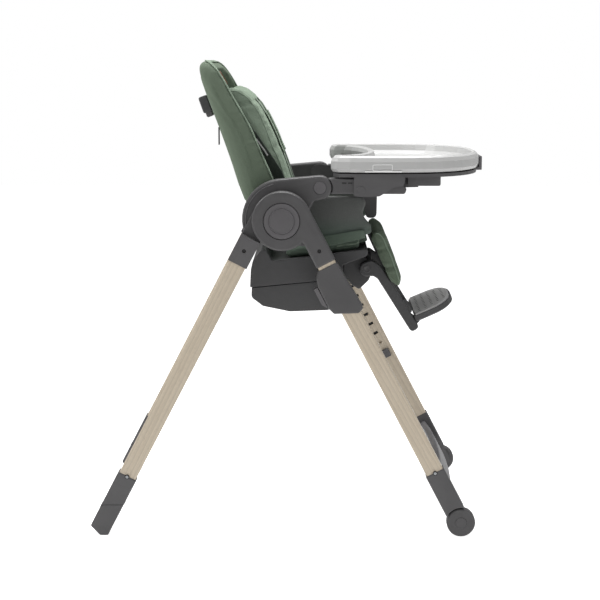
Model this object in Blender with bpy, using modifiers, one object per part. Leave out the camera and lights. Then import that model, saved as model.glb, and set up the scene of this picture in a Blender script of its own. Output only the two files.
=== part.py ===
"""Folding baby high chair with wooden legs, a reclining padded seat and a tray.

Metres, +Z up. The chair faces +X, its left side is +Y, and it stands on Z = 0.
Each body has an empty on its joint axis, and its pieces are parented to that empty.
"""

import math

import bmesh
import bpy
from mathutils import Matrix, Vector

# Frame
HUB_X = -0.0131            # folding axis, fore and aft
LEG_ANGLE = 27.5           # each leg from the vertical, degrees
LEG_OFFSET = 0.0425        # leg centre line from the folding axis
LEG_WIDTH = 0.040
LEG_THICK = 0.030
LEG_OUTER = 0.2775         # outer face of each wooden leg from the middle
FRONT_BOOT_AT = 0.655
REAR_BOOT_AT = 0.667
LEG_IN_BOOT = 0.080
BOOT_HEEL_AT = 0.809
BOOT_FLAT = 0.018
WHEEL_AT = 0.7862
WHEEL_RADIUS = 0.032
WHEEL_GAP = 0.0025
AXLE_RADIUS = 0.0045
HUB_RADIUS = 0.065
HUB_DISC_INNER = 0.262
CAP_RADIUS = 0.040
CAP_DEPTH = 0.0105
CAP_TRAVEL = 0.0032
LEG_TOP = HUB_RADIUS + 0.002     # leg stations are measured down the leg from the hub
SLEEVE_START = HUB_RADIUS - 0.001
SLEEVE_END = 0.128
WALL = 0.0022              # plastic wall round the wood
FIT = 0.0003               # clearance of a sliding or pushed fit
SCREW_AT = 0.0954
SCREW_HOLE = 0.0045
NOTCH_FIRST = 0.2208
NOTCH_PITCH = 0.027
NOTCHES = 8
NOTCH_DEPTH = 0.006
STOP_AT = 0.4688
CROSSBAR_AT = 0.672
CROSSBAR_WIDTH = 0.063
CROSSBAR_THICK = 0.016
CROSSBAR_BOW = 0.012
REAR_BAR_AT = 0.585
REAR_BAR_WIDTH = 0.030
REAR_BAR_THICK = 0.016

# Seat carriage
PANEL_INNER = 0.207
PANEL_OUTER = 0.242
PANEL_ARC = 0.088
PANEL_STRIP = 0.018         # half of the strip that runs down behind the leg
ARM_PIVOT = (0.083, 0.0695)      # from the hub, forward and up
ARM_END_RADIUS = 0.026
ARM_BUTTON = 0.014
BUTTON_TRAVEL = 0.003
SLIDER_TOP = 0.1335
SLIDER_END = 0.2560
SEAT_HALF = 0.190
SEAT_SLOPE = 0.128
CUSHION_HALF = 0.186
CUSHION_TOP = -0.0400      # at the front edge
CUSHION_THICK = 0.0320
CUSHION_EDGE = 0.0190
CUSHION_FRONT = 0.178
SIDE_THICK = 0.024
SIDE_OUTER = 0.198

# Backrest
BACK_LEAN = 19.5           # degrees from the vertical
BACK_HEIGHT = 0.3825       # up the lean, from the hub
BACK_HALF = 0.199
BACK_WALL = 0.022
INLAY_HALF = 0.150
INLAY_FOOT = 0.042         # radius of the lower end, round the recline axis
INLAY_TOP = 0.310
HANDLE_AT = 0.272
HANDLE_TRAVEL = 0.008

# Footrest and calf rest
CALF_PIVOT = (0.200, -0.0275)
CALF_LENGTH = 0.153
CALF_ANGLE = 24.8
CALF_HALF = 0.160
FOOT_PIVOT = (0.191, -0.127)
FOOT_ANGLE = 32.3
FOOT_LENGTH = 0.180
FOOT_ARM_REAR = 0.0090     # the straight arm runs in front of its pivot
FOOT_ARM_WIDTH = 0.0225
FOOT_ARM_INNER = 0.100
FOOT_ARM_OUTER = 0.120
PLATE_TILT = 23.5
PLATE_AT = 0.163
PLATE_DEPTH = 0.099
PLATE_HALF = 0.120
PLATE_THICK = 0.012
MAT_THICK = 0.004

# Tray and armrests
RAIL_TOP = 0.0895
RAIL_BOTTOM = 0.056
RAIL_END = 0.273
RAIL_INNER = 0.200
RAIL_OUTER = 0.240
TRAY_REAR = 0.107
TRAY_FRONT = 0.4505
TRAY_HALF = 0.250
TRAY_Z = 0.1012            # underside of the tray above the hub
TRAY_HEIGHT = 0.0380
TRAY_CUTOUT = 0.075
TRAY_STRAIGHT = 0.255
BASE_THICK = 0.0075
LEVER_FRONT = 0.4575

A = math.radians(LEG_ANGLE)
HUB_Z = WHEEL_RADIUS + WHEEL_AT * math.cos(A) - LEG_OFFSET * math.sin(A)
LEG_INNER = LEG_OUTER - LEG_THICK
SLEEVE_OUTER = LEG_OUTER + FIT + WALL
SLEEVE_INNER = LEG_INNER - FIT - WALL
SLEEVE_HALF = LEG_WIDTH / 2 + FIT + WALL
SIDES = ((-1, "right"), (1, "left"))

COLOURS = {
    "dark_plastic": ((0.072, 0.070, 0.070), 0.48, 0.0),
    "hub_plastic": ((0.090, 0.088, 0.088), 0.42, 0.0),
    "wheel_plastic": ((0.065, 0.065, 0.065), 0.60, 0.0),
    "light_plastic": ((0.150, 0.150, 0.150), 0.55, 0.0),
    "tray_plastic": ((0.720, 0.720, 0.720), 0.35, 0.0),
    "mat_rubber": ((0.210, 0.210, 0.205), 0.80, 0.0),
    "ash_wood": ((0.550, 0.440, 0.330), 0.55, 0.0),
    "green_fabric": ((0.200, 0.265, 0.195), 0.90, 0.0),
    "inlay_fabric": ((0.250, 0.320, 0.250), 0.90, 0.0),
    "webbing": ((0.035, 0.040, 0.036), 0.85, 0.0),
}


def clear_scene():
    for item in list(bpy.data.objects):
        bpy.data.objects.remove(item, do_unlink=True)


def new_collection(name):
    group = bpy.data.collections.new(name)
    bpy.context.scene.collection.children.link(group)
    return group


def make_material(name):
    colour, roughness, metallic = COLOURS[name]
    material = bpy.data.materials.new(name)
    material.use_nodes = True
    shader = material.node_tree.nodes["Principled BSDF"]
    shader.inputs["Base Color"].default_value = (*colour, 1.0)
    shader.inputs["Roughness"].default_value = roughness
    shader.inputs["Metallic"].default_value = metallic
    material.diffuse_color = (*colour, 1.0)
    return material


clear_scene()
PARTS = new_collection("baby_high_chair")
TOOLS = new_collection("cutters")
MATERIALS = {name: make_material(name) for name in COLOURS}
BODIES = {}


# Places: (x, z) pairs in the side view

def at(forward, up, *radius):
    """Place from the hub; a corner's own fillet radius may follow."""
    return (HUB_X + forward, HUB_Z + up, *radius)


def on_leg(way, station, across):
    """Place on a leg: way is 1 for the front leg, -1 for the rear one."""
    out = LEG_OFFSET + across
    forward = way * (out * math.cos(A) + station * math.sin(A))
    return at(forward, out * math.sin(A) - station * math.cos(A))


def on_back(up, forward):
    lean = math.radians(BACK_LEAN)
    x = forward * math.cos(lean) - up * math.sin(lean)
    z = forward * math.sin(lean) + up * math.cos(lean)
    return at(x, z)


def on_limb(pivot, angle, along, forward):
    """Place on a bar that hangs from a pivot at an angle from the vertical."""
    turn = math.radians(angle)
    x = pivot[0] + along * math.sin(turn) + forward * math.cos(turn)
    z = pivot[1] - along * math.cos(turn) + forward * math.sin(turn)
    return at(x, z)


def arc(centre, radius, start, end, steps):
    points = []
    for step in range(steps + 1):
        turn = math.radians(start + (end - start) * step / steps)
        points.append((centre[0] + radius * math.cos(turn), centre[1] + radius * math.sin(turn)))
    return points


def kept(points):
    """The same places, marked so that rounded() leaves them as they are."""
    return [(*point, 0) for point in points]


def rounded(corners, radius, steps=3):
    """Outline with each corner filleted; a corner may carry its own radius."""
    points = []
    count = len(corners)
    for index, corner in enumerate(corners):
        here = Vector(corner[:2])
        before = Vector(corners[index - 1][:2]) - here
        after = Vector(corners[(index + 1) % count][:2]) - here
        size = corner[2] if len(corner) > 2 else radius
        half = before.angle(after) / 2
        if size <= 0 or half > math.radians(88):
            points.append(tuple(here))
            continue
        reach = min(size / math.tan(half), before.length * 0.48, after.length * 0.48)
        start = here + before.normalized() * reach
        end = here + after.normalized() * reach
        for step in range(steps + 1):
            share = step / steps
            low = start.lerp(here, share)
            high = here.lerp(end, share)
            points.append(tuple(low.lerp(high, share)))
    return points


# Meshes

def prism(outline, y0, y1):
    """Side-view outline pushed out from y0 to y1."""
    mesh = bmesh.new()
    face = mesh.faces.new([mesh.verts.new((x, y0, z)) for x, z in outline])
    moved = bmesh.ops.extrude_face_region(mesh, geom=[face])["geom"]
    verts = [item for item in moved if isinstance(item, bmesh.types.BMVert)]
    bmesh.ops.translate(mesh, verts=verts, vec=(0, y1 - y0, 0))
    bmesh.ops.recalc_face_normals(mesh, faces=mesh.faces)
    return mesh


def loft(rings):
    """Skin over closed rings of equal length, with a cap at each end."""
    mesh = bmesh.new()
    loops = [[mesh.verts.new(point) for point in ring] for ring in rings]
    for low, high in zip(loops, loops[1:]):
        for index in range(len(low)):
            before = index - 1
            mesh.faces.new((low[before], low[index], high[index], high[before]))
    mesh.faces.new(loops[0])
    mesh.faces.new(loops[-1])
    bmesh.ops.recalc_face_normals(mesh, faces=mesh.faces)
    return mesh


def lathe(profile, centre, side, steps=32):
    """Closed (radius, y) profile turned about a Y axis through a side-view place."""
    mesh = bmesh.new()
    verts = [mesh.verts.new((centre[0] + r, side * y, centre[1])) for r, y in profile]
    edges = [mesh.edges.new(pair) for pair in zip(verts, verts[1:])]
    if profile[0][0] > 0 or profile[-1][0] > 0:
        edges.append(mesh.edges.new((verts[-1], verts[0])))
    bmesh.ops.spin(mesh, geom=verts + edges, cent=(centre[0], 0, centre[1]), axis=(0, 1, 0),
                   angle=math.tau, steps=steps, use_merge=True)
    bmesh.ops.remove_doubles(mesh, verts=mesh.verts, dist=1e-6)
    bmesh.ops.recalc_face_normals(mesh, faces=mesh.faces)
    return mesh


def disc(centre, radius, side, y0, y1, steps=24):
    low, high = sorted((side * y0, side * y1))
    return prism(arc(centre, radius, 0, 360 - 360 / steps, steps - 1), low, high)


def slab(outline, side, y0, y1):
    low, high = sorted((side * y0, side * y1))
    return prism(outline, low, high)


def leg_block(way, start, end, low, high):
    return [on_leg(way, start, low), on_leg(way, start, high),
            on_leg(way, end, high), on_leg(way, end, low)]


# Objects

def body(name, place, y=0.0, parent=None):
    """Empty on a body's joint axis."""
    empty = bpy.data.objects.new("body_" + name, None)
    empty.empty_display_size = 0.03
    PARTS.objects.link(empty)
    origin = Vector((place[0], y, place[1]))
    above = BODIES[parent][1] if parent else Vector((0, 0, 0))
    empty.location = origin - above
    empty.parent = BODIES[parent][0] if parent else None
    BODIES[name] = (empty, origin)


def place_mesh(name, owner, mesh, group):
    empty, origin = BODIES[owner]
    bmesh.ops.transform(mesh, matrix=Matrix.Translation(-origin), verts=mesh.verts)
    data = bpy.data.meshes.new(name)
    mesh.to_mesh(data)
    mesh.free()
    item = bpy.data.objects.new(name, data)
    item.parent = empty
    group.objects.link(item)
    return item


def helper(name, owner, mesh):
    item = place_mesh(name, owner, mesh, TOOLS)
    item.hide_render = True
    item.display_type = "WIRE"
    return item


def piece(name, owner, material, mesh, bevel=0.0, segments=2, adds=(), cuts=(), angle=40):
    """One sub-part: bevelled, then joined with and cut by its helpers."""
    item = place_mesh(name, owner, mesh, PARTS)
    item.data.materials.append(MATERIALS[material])
    for face in item.data.polygons:
        face.use_smooth = True
    item.data.set_sharp_from_angle(angle=math.radians(angle))
    if bevel > 0:
        rounding = item.modifiers.new("rounding", "BEVEL")
        rounding.width = bevel
        rounding.segments = segments
        rounding.limit_method = "ANGLE"
        rounding.angle_limit = math.radians(angle)
    for operation, tools in (("UNION", adds), ("DIFFERENCE", cuts)):
        for index, mesh_tool in enumerate(tools):
            tool = helper(f"{name}_{operation.lower()}_{index}", owner, mesh_tool)
            step = item.modifiers.new(f"{operation.lower()}_{index}", "BOOLEAN")
            step.operation = operation
            step.solver = "EXACT"
            step.object = tool
    return item


# Bodies

HUB = at(0, 0)
WHEEL = on_leg(1, WHEEL_AT, 0)
body("front_frame", HUB)
body("rear_frame", HUB, parent="front_frame")
body("seat_carriage", on_leg(1, SLIDER_TOP, 0), parent="front_frame")
body("backrest", HUB, parent="seat_carriage")
body("calf_rest", at(*CALF_PIVOT), parent="seat_carriage")
body("footrest", at(*FOOT_PIVOT), parent="seat_carriage")
body("footplate", on_limb(FOOT_PIVOT, FOOT_ANGLE, PLATE_AT, 0.02), parent="footrest")
body("armrests", at(*ARM_PIVOT), parent="seat_carriage")
body("tray_base", at(0.19, 0.095), parent="armrests")
body("tray_top", at(0.27, TRAY_Z), parent="tray_base")
body("tray_lever", at(LEVER_FRONT, TRAY_Z), parent="tray_top")
body("recline_lever", on_back(0.28, -0.098), parent="backrest")
body("zip_pull", at(-0.1530, 0.1895), parent="backrest")
for side, tag in SIDES:
    body(f"wheel_{tag}", WHEEL, side * 0.2675, "front_frame")
    body(f"fold_button_{tag}", HUB, side * 0.276, "front_frame")
    body(f"height_trigger_{tag}", on_leg(1, 0.187, -0.048), side * 0.2625, "seat_carriage")
    body(f"armrest_button_{tag}", at(*ARM_PIVOT), side * 0.240, "seat_carriage")


# Frame

def hub_outline(way, radius):
    """Disc round the folding axis with the leg's sleeve running off it."""
    reach = math.sqrt(radius ** 2 - (LEG_OFFSET - SLEEVE_HALF) ** 2)
    last = 360 - math.degrees(math.atan2(reach, LEG_OFFSET - SLEEVE_HALF))
    points = []
    for step in range(35):
        turn = math.radians(last * step / 34)
        points.append(on_leg(way, -radius * math.sin(turn), radius * math.cos(turn) - LEG_OFFSET))
    points.append(on_leg(way, SLEEVE_END, -SLEEVE_HALF))
    points.append(on_leg(way, SLEEVE_END, radius - LEG_OFFSET))
    return points


def pocket(way, side, start, end):
    """Space for the wooden leg inside a sleeve, a boot or a slider."""
    half = LEG_WIDTH / 2 + FIT
    return slab(leg_block(way, start, end, -half, half), side, LEG_INNER - FIT, LEG_OUTER + FIT)


def wood_leg(way, side, start, end, name, owner, cuts=()):
    half = LEG_WIDTH / 2
    mesh = slab(leg_block(way, start, end, -half, half), side, LEG_INNER, LEG_OUTER)
    piece(name, owner, "ash_wood", mesh, bevel=0.003, cuts=cuts)


def notch_cuts(side):
    """Height notches down the inner face, and the round hole that ends the row."""
    cuts = []
    for index in range(NOTCHES):
        station = NOTCH_FIRST + index * NOTCH_PITCH
        outline = leg_block(1, station - 0.0035, station + 0.0035, -0.006, 0.006)
        cuts.append(slab(outline, side, LEG_INNER - 0.004, LEG_INNER + NOTCH_DEPTH))
    station = NOTCH_FIRST + NOTCHES * NOTCH_PITCH
    cuts.append(disc(on_leg(1, station, 0), 0.004, side, LEG_INNER - 0.004,
                     LEG_INNER + NOTCH_DEPTH, 12))
    joined = cuts[0]
    for other in cuts[1:]:
        spare = bpy.data.meshes.new("spare")
        other.to_mesh(spare)
        other.free()
        joined.from_mesh(spare)
        bpy.data.meshes.remove(spare)
    return [joined]


def build_front_frame(side, tag):
    leg_end = FRONT_BOOT_AT + LEG_IN_BOOT
    wood_leg(1, side, LEG_TOP, leg_end - FIT, f"front_leg_{tag}", "front_frame", notch_cuts(side))

    sleeve = slab(leg_block(1, SLEEVE_START, SLEEVE_END - FIT, -SLEEVE_HALF + FIT,
                            SLEEVE_HALF - FIT), side, SLEEVE_INNER, HUB_DISC_INNER + 0.008)
    recess = disc(HUB, CAP_RADIUS + 0.0008, side, SLEEVE_OUTER - CAP_DEPTH, SLEEVE_OUTER + 0.01, 36)
    screw = disc(on_leg(1, SCREW_AT, 0), SCREW_HOLE, side, LEG_OUTER, SLEEVE_OUTER + 0.01, 16)
    piece(f"hub_housing_{tag}", "front_frame", "hub_plastic",
          slab(hub_outline(1, HUB_RADIUS), side, HUB_DISC_INNER, SLEEVE_OUTER),
          bevel=0.0045, segments=3, angle=50, adds=[sleeve],
          cuts=[pocket(1, side, LEG_TOP - FIT, SLEEVE_END + 0.05), recess, screw])

    reach = WHEEL_RADIUS + WHEEL_GAP
    open_turn = math.degrees(math.asin(SLEEVE_HALF / reach))
    lower = []
    for step in range(9):
        turn = math.radians(open_turn - 2 * open_turn * step / 8)
        lower.append(on_leg(1, WHEEL_AT - reach * math.cos(turn), reach * math.sin(turn)))
    boot = [on_leg(1, FRONT_BOOT_AT, -SLEEVE_HALF), on_leg(1, FRONT_BOOT_AT, SLEEVE_HALF)] + lower
    cheek_out = SLEEVE_INNER + 0.0085
    cheek = [on_leg(1, FRONT_BOOT_AT + LEG_IN_BOOT + 0.003, -0.0205)]
    cheek.append(on_leg(1, FRONT_BOOT_AT + LEG_IN_BOOT + 0.003, 0.0205))
    for step in range(11):
        turn = math.pi / 2 - math.pi * step / 10
        cheek.append(on_leg(1, WHEEL_AT + 0.0205 * math.cos(turn), 0.0205 * math.sin(turn)))
    piece(f"front_boot_{tag}", "front_frame", "dark_plastic",
          slab(boot, side, SLEEVE_INNER, SLEEVE_OUTER), bevel=0.003,
          adds=[slab(cheek, side, SLEEVE_INNER + 0.0001, cheek_out),
                disc(WHEEL, AXLE_RADIUS, side, cheek_out - 0.003, cheek_out + 0.018, 16)],
          cuts=[pocket(1, side, FRONT_BOOT_AT - 0.05, FRONT_BOOT_AT + LEG_IN_BOOT)])

    inner = cheek_out + 0.001
    outer = SLEEVE_OUTER
    bore = AXLE_RADIUS + 0.0003
    end = cheek_out + 0.019
    piece(f"wheel_{tag}", f"wheel_{tag}", "wheel_plastic", lathe([
        (0, end), (bore, end), (bore, inner), (WHEEL_RADIUS - 0.003, inner),
        (WHEEL_RADIUS, inner + 0.003), (WHEEL_RADIUS, outer - 0.004),
        (WHEEL_RADIUS - 0.0025, outer - 0.0015), (0.0130, outer - 0.0015),
        (0.0120, outer), (0, outer)], WHEEL, side, 36), angle=35)

    face = SLEEVE_OUTER - 0.0006
    back = SLEEVE_OUTER - CAP_DEPTH + CAP_TRAVEL + 0.0003
    piece(f"fold_button_{tag}", f"fold_button_{tag}", "hub_plastic", lathe([
        (0, back), (CAP_RADIUS, back), (CAP_RADIUS, face - 0.0016), (CAP_RADIUS - 0.002, face),
        (CAP_RADIUS - 0.0110, face), (CAP_RADIUS - 0.0115, face - 0.0007),
        (CAP_RADIUS - 0.0125, face - 0.0007), (CAP_RADIUS - 0.0130, face), (0, face)],
        HUB, side, 36), angle=30)

    stop = slab(leg_block(1, STOP_AT - 0.011, STOP_AT + 0.011, -0.010, 0.010),
                side, LEG_INNER - 0.0065, LEG_INNER - FIT)
    piece(f"leg_stop_{tag}", "front_frame", "dark_plastic", stop, bevel=0.0015, segments=1)


def build_crossbar():
    half = SLEEVE_INNER - FIT
    rings = []
    for step in range(13):
        y = -half + 2 * half * step / 12
        push = CROSSBAR_BOW * (1 - (y / half) ** 2)
        low = CROSSBAR_AT
        high = CROSSBAR_AT + CROSSBAR_WIDTH
        corners = [(low, push - CROSSBAR_THICK / 2), (low, push + CROSSBAR_THICK / 2),
                   (high, push + CROSSBAR_THICK / 2), (high, push - CROSSBAR_THICK / 2)]
        ring = []
        for station, across in rounded(corners, 0.006, 2):
            x, z = on_leg(1, station, across)
            ring.append((x, y, z))
        rings.append(ring)
    piece("front_crossbar", "front_frame", "light_plastic", loft(rings), angle=50)


def build_rear_frame(side, tag):
    leg_end = REAR_BOOT_AT + LEG_IN_BOOT
    wood_leg(-1, side, LEG_TOP, leg_end - FIT, f"rear_leg_{tag}", "rear_frame")

    start = (HUB_RADIUS + 0.0022) ** 2 - (LEG_OFFSET - SLEEVE_HALF) ** 2
    sleeve = slab(leg_block(-1, math.sqrt(start), SLEEVE_END + FIT, -SLEEVE_HALF - FIT,
                            SLEEVE_HALF + FIT), side, HUB_DISC_INNER - 0.006, SLEEVE_OUTER)
    screw = disc(on_leg(-1, SCREW_AT, 0), SCREW_HOLE, side, LEG_OUTER, SLEEVE_OUTER + 0.01, 16)
    piece(f"rear_sleeve_{tag}", "rear_frame", "light_plastic",
          slab(hub_outline(-1, HUB_RADIUS - 0.0008), side, SLEEVE_INNER, HUB_DISC_INNER - 0.0005),
          bevel=0.001, segments=1, angle=50, adds=[sleeve],
          cuts=[pocket(-1, side, LEG_TOP - FIT, SLEEVE_END + 0.05), screw])

    down = HUB_Z + (LEG_OFFSET - SLEEVE_HALF) * math.sin(A)
    toe = on_leg(-1, down / math.cos(A), -SLEEVE_HALF)
    boot = [on_leg(-1, REAR_BOOT_AT, SLEEVE_HALF), on_leg(-1, REAR_BOOT_AT, -SLEEVE_HALF),
            toe, (toe[0] - BOOT_FLAT, toe[1]), on_leg(-1, BOOT_HEEL_AT, SLEEVE_HALF)]
    piece(f"rear_boot_{tag}", "rear_frame", "dark_plastic",
          slab(boot, side, SLEEVE_INNER, SLEEVE_OUTER), bevel=0.003, angle=30,
          cuts=[pocket(-1, side, REAR_BOOT_AT - 0.05, REAR_BOOT_AT + LEG_IN_BOOT)])


def build_rear_bar():
    half = REAR_BAR_THICK / 2
    corners = leg_block(-1, REAR_BAR_AT, REAR_BAR_AT + REAR_BAR_WIDTH, -half, half)
    edge = LEG_INNER - FIT
    piece("rear_crossbar", "rear_frame", "light_plastic",
          prism(rounded(corners, 0.007, 3), -edge, edge), angle=50)


# Seat carriage

def build_carriage(side, tag):
    pivot = at(*ARM_PIVOT)
    corners = kept(arc(HUB, PANEL_ARC, 200, 98, 12) + arc(pivot, ARM_END_RADIUS, 90, -70, 10))
    corners += [at(0.070, 0.040), at(0.062, 0.024), on_leg(1, 0.020, PANEL_STRIP),
                on_leg(1, 0.212, PANEL_STRIP), on_leg(1, 0.200, -PANEL_STRIP),
                on_leg(1, 0.080, -PANEL_STRIP)]
    corners += kept(arc(HUB, HUB_RADIUS - 0.006, 286, 220, 8))
    outline = rounded(corners, 0.006, 2)
    piece(f"side_panel_{tag}", "seat_carriage", "dark_plastic",
          slab(outline, side, PANEL_INNER, PANEL_OUTER), bevel=0.004, angle=45,
          cuts=[disc(pivot, ARM_BUTTON + 0.0004, side, PANEL_OUTER - 0.0080,
                     PANEL_OUTER + 0.01, 24)])
    back = PANEL_OUTER - 0.0080 + BUTTON_TRAVEL + 0.0003
    face = PANEL_OUTER + 0.0004
    piece(f"armrest_button_{tag}", f"armrest_button_{tag}", "hub_plastic", lathe([
        (0, back), (ARM_BUTTON, back), (ARM_BUTTON, face - 0.001), (ARM_BUTTON - 0.001, face),
        (0, face)], pivot, side, 24), angle=30)

    sleeve = [(SLIDER_TOP, -SLEEVE_HALF), (SLIDER_TOP, SLEEVE_HALF),
              (SLIDER_END - 0.005, SLEEVE_HALF + 0.006), (SLIDER_END + 0.001, SLEEVE_HALF - 0.008),
              (SLIDER_END - 0.0225, -0.0350), (SLIDER_END - 0.0375, -0.0400),
              (SLIDER_TOP + 0.0310, -0.0390), (SLIDER_TOP + 0.0130, -0.0335)]
    outline = rounded([on_leg(1, *corner) for corner in sleeve], 0.005, 2)
    piece(f"slider_{tag}", "seat_carriage", "dark_plastic",
          slab(outline, side, PANEL_OUTER + 0.0008, SLEEVE_OUTER), bevel=0.003, angle=50,
          cuts=[pocket(1, side, SLIDER_TOP - 0.05, SLIDER_END + 0.05)])
    paddle = [(0.1660, -0.0403), (0.1655, -0.0495), (0.2050, -0.0495), (0.2160, -0.0415),
              (0.2160, -0.0405)]
    outline = [on_leg(1, *corner) for corner in paddle]
    piece(f"height_trigger_{tag}", f"height_trigger_{tag}", "light_plastic",
          slab(outline, side, 0.2495, 0.2755), bevel=0.0012, segments=1, angle=50)

    wall = rounded([at(0.034, -0.0690), at(0.113, -0.0565, 0.03), at(0.2010, -0.0360),
                    at(0.1985, -0.0180), at(0.1765, 0.0050, 0.02), at(0.1860, 0.0320),
                    at(0.1790, 0.0475), at(0.060, 0.0475), at(0.034, 0.0300)], 0.010, 3)
    piece(f"seat_side_{tag}", "seat_carriage", "dark_plastic",
          slab(wall, side, SIDE_OUTER - SIDE_THICK, SIDE_OUTER), bevel=0.004, angle=50)


def seat_line(forward, drop):
    """Place on the seat's slope, dropped below the middle of the cushion's top."""
    return at(forward, CUSHION_TOP + SEAT_SLOPE * (forward - CUSHION_FRONT) - drop)


def build_seat():
    base = CUSHION_THICK + 0.0012
    shell = rounded([at(-0.0735, -0.1585, 0.002), at(-0.0715, -0.1180, 0.02),
                     at(-0.0670, -0.0980, 0.02), at(-0.0480, -0.0735), at(-0.0370, -0.0735),
                     seat_line(-0.024, base), seat_line(0.192, base),
                     seat_line(0.189, base + 0.015), seat_line(0.135, base + 0.028),
                     at(0.131, -0.1388, 0.004)], 0.006, 3)
    piece("seat_shell", "seat_carriage", "dark_plastic", prism(shell, -SEAT_HALF, SEAT_HALF),
          bevel=0.006, segments=3, angle=60)
    cover = rounded([at(-0.0700, -0.1600, 0.002), at(0.129, -0.1405, 0.004), at(0.126, -0.180),
                     at(0.106, -0.211), at(0.016, -0.2145), at(-0.045, -0.202),
                     at(-0.071, -0.182)], 0.012, 3)
    half = SEAT_HALF - 0.006
    piece("seat_base_cover", "seat_carriage", "dark_plastic", prism(cover, -half, half),
          bevel=0.008, segments=3, angle=60)
    under = [seat_line(0.002, CUSHION_THICK), seat_line(CUSHION_FRONT, CUSHION_THICK),
             seat_line(CUSHION_FRONT, CUSHION_THICK - CUSHION_EDGE),
             seat_line(0.002, CUSHION_THICK - CUSHION_EDGE)]
    crown = [seat_line(0.004, CUSHION_THICK - 0.003), seat_line(CUSHION_FRONT - 0.002, 0.022),
             seat_line(CUSHION_FRONT - 0.002, 0.0), seat_line(0.004, 0.0)]
    half = CUSHION_HALF - 0.016
    piece("seat_cushion", "seat_carriage", "green_fabric",
          prism(rounded(under, 0.006, 3), -CUSHION_HALF, CUSHION_HALF), bevel=0.005, angle=50,
          adds=[prism(rounded(crown, 0.010, 3), -half, half)])
    pivot = at(*FOOT_PIVOT)
    drop = base + 0.0300
    corners = [seat_line(0.137, drop), seat_line(0.178, drop - 0.0120)]
    corners += kept(arc(pivot, 0.0155, 50, -25, 6))
    corners += [at(0.1955, -0.1560), at(0.1740, -0.1770), at(0.1550, -0.1650),
                at(0.1370, -0.1370)]
    bracket = rounded(corners, 0.005, 2)
    edge = FOOT_ARM_INNER - 0.0006
    piece("footrest_bracket", "seat_carriage", "dark_plastic", prism(bracket, -edge, edge),
          bevel=0.002, angle=50)
    buckle = rounded([seat_line(0.092, -0.003), seat_line(0.128, -0.003),
                      seat_line(0.128, -0.017), seat_line(0.092, -0.017)], 0.005, 3)
    piece("harness_buckle", "seat_carriage", "dark_plastic", prism(buckle, -0.022, 0.022),
          bevel=0.004, angle=50)


# Backrest: (up the lean, half width, rear face, front edge)

def back_sections():
    top = BACK_HEIGHT
    return [(0.030, 0.990, -0.0640, 0.0070), (0.060, 1.000, -0.0690, 0.0090),
            (0.100, 1.000, -0.0700, 0.0075), (0.150, 0.995, -0.0680, 0.0035),
            (0.210, 0.975, -0.0680, 0.0000), (0.255, 0.955, -0.0690, -0.0080),
            (0.290, 0.930, -0.0700, -0.0155), (top - 0.0595, 0.905, -0.0715, -0.0205),
            (top - 0.0325, 0.880, -0.0710, -0.0265), (top - 0.0145, 0.835, -0.0695, -0.0340),
            (top - 0.0045, 0.760, -0.0660, -0.0410), (top, 0.660, -0.0620, -0.0490)]


def back_ring(up, half, rear, front, crown=0.005):
    """Ring round the back: straight wings in front and a rounded, crowned rear."""
    depth = front - rear
    bend = min(0.045, half * 0.4)
    right = [(-half, front), (-half, front - depth * 0.45)]
    for step in range(1, 6):
        turn = math.pi / 2 * step / 5
        right.append((-half + bend * (1 - math.cos(turn)), rear + depth * 0.55 * (1 - math.sin(turn))))
    right.append((-half * 0.4, rear - crown * 0.8))
    outline = right + [(0, rear - crown)] + [(-y, w) for y, w in reversed(right)]
    ring = []
    for y, forward in outline:
        x, z = on_back(up, forward)
        ring.append((x, y, z))
    return ring


def back_hollow():
    """Space for the inlay: open to the front and below, closed at the top."""
    rings = []
    for up, share in ((-0.10, 1.0), (0.100, 1.0), (0.210, 0.975), (0.290, 0.930),
                      (BACK_HEIGHT - 0.0575, 0.88), (BACK_HEIGHT - 0.0285, 0.72)):
        half = BACK_HALF * share - BACK_WALL
        rear = -0.0480
        ring = []
        for y, forward in ((-half, 0.12), (-half, rear + 0.018), (-half + 0.018, rear),
                           (half - 0.018, rear), (half, rear + 0.018), (half, 0.12)):
            x, z = on_back(up, forward)
            ring.append((x, y, z))
        rings.append(ring)
    return loft(rings)


def inlay_front(lift):
    """Front line of the inlay from its foot to its top, lifted off by a distance."""
    line = ((0.060, 0.0400), (0.098, 0.0412), (0.127, 0.0406), (0.174, 0.0384),
            (0.212, 0.0345), (0.241, 0.0300), (0.268, 0.0230))
    return [on_back(up, forward + lift) for up, forward in line]


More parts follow.
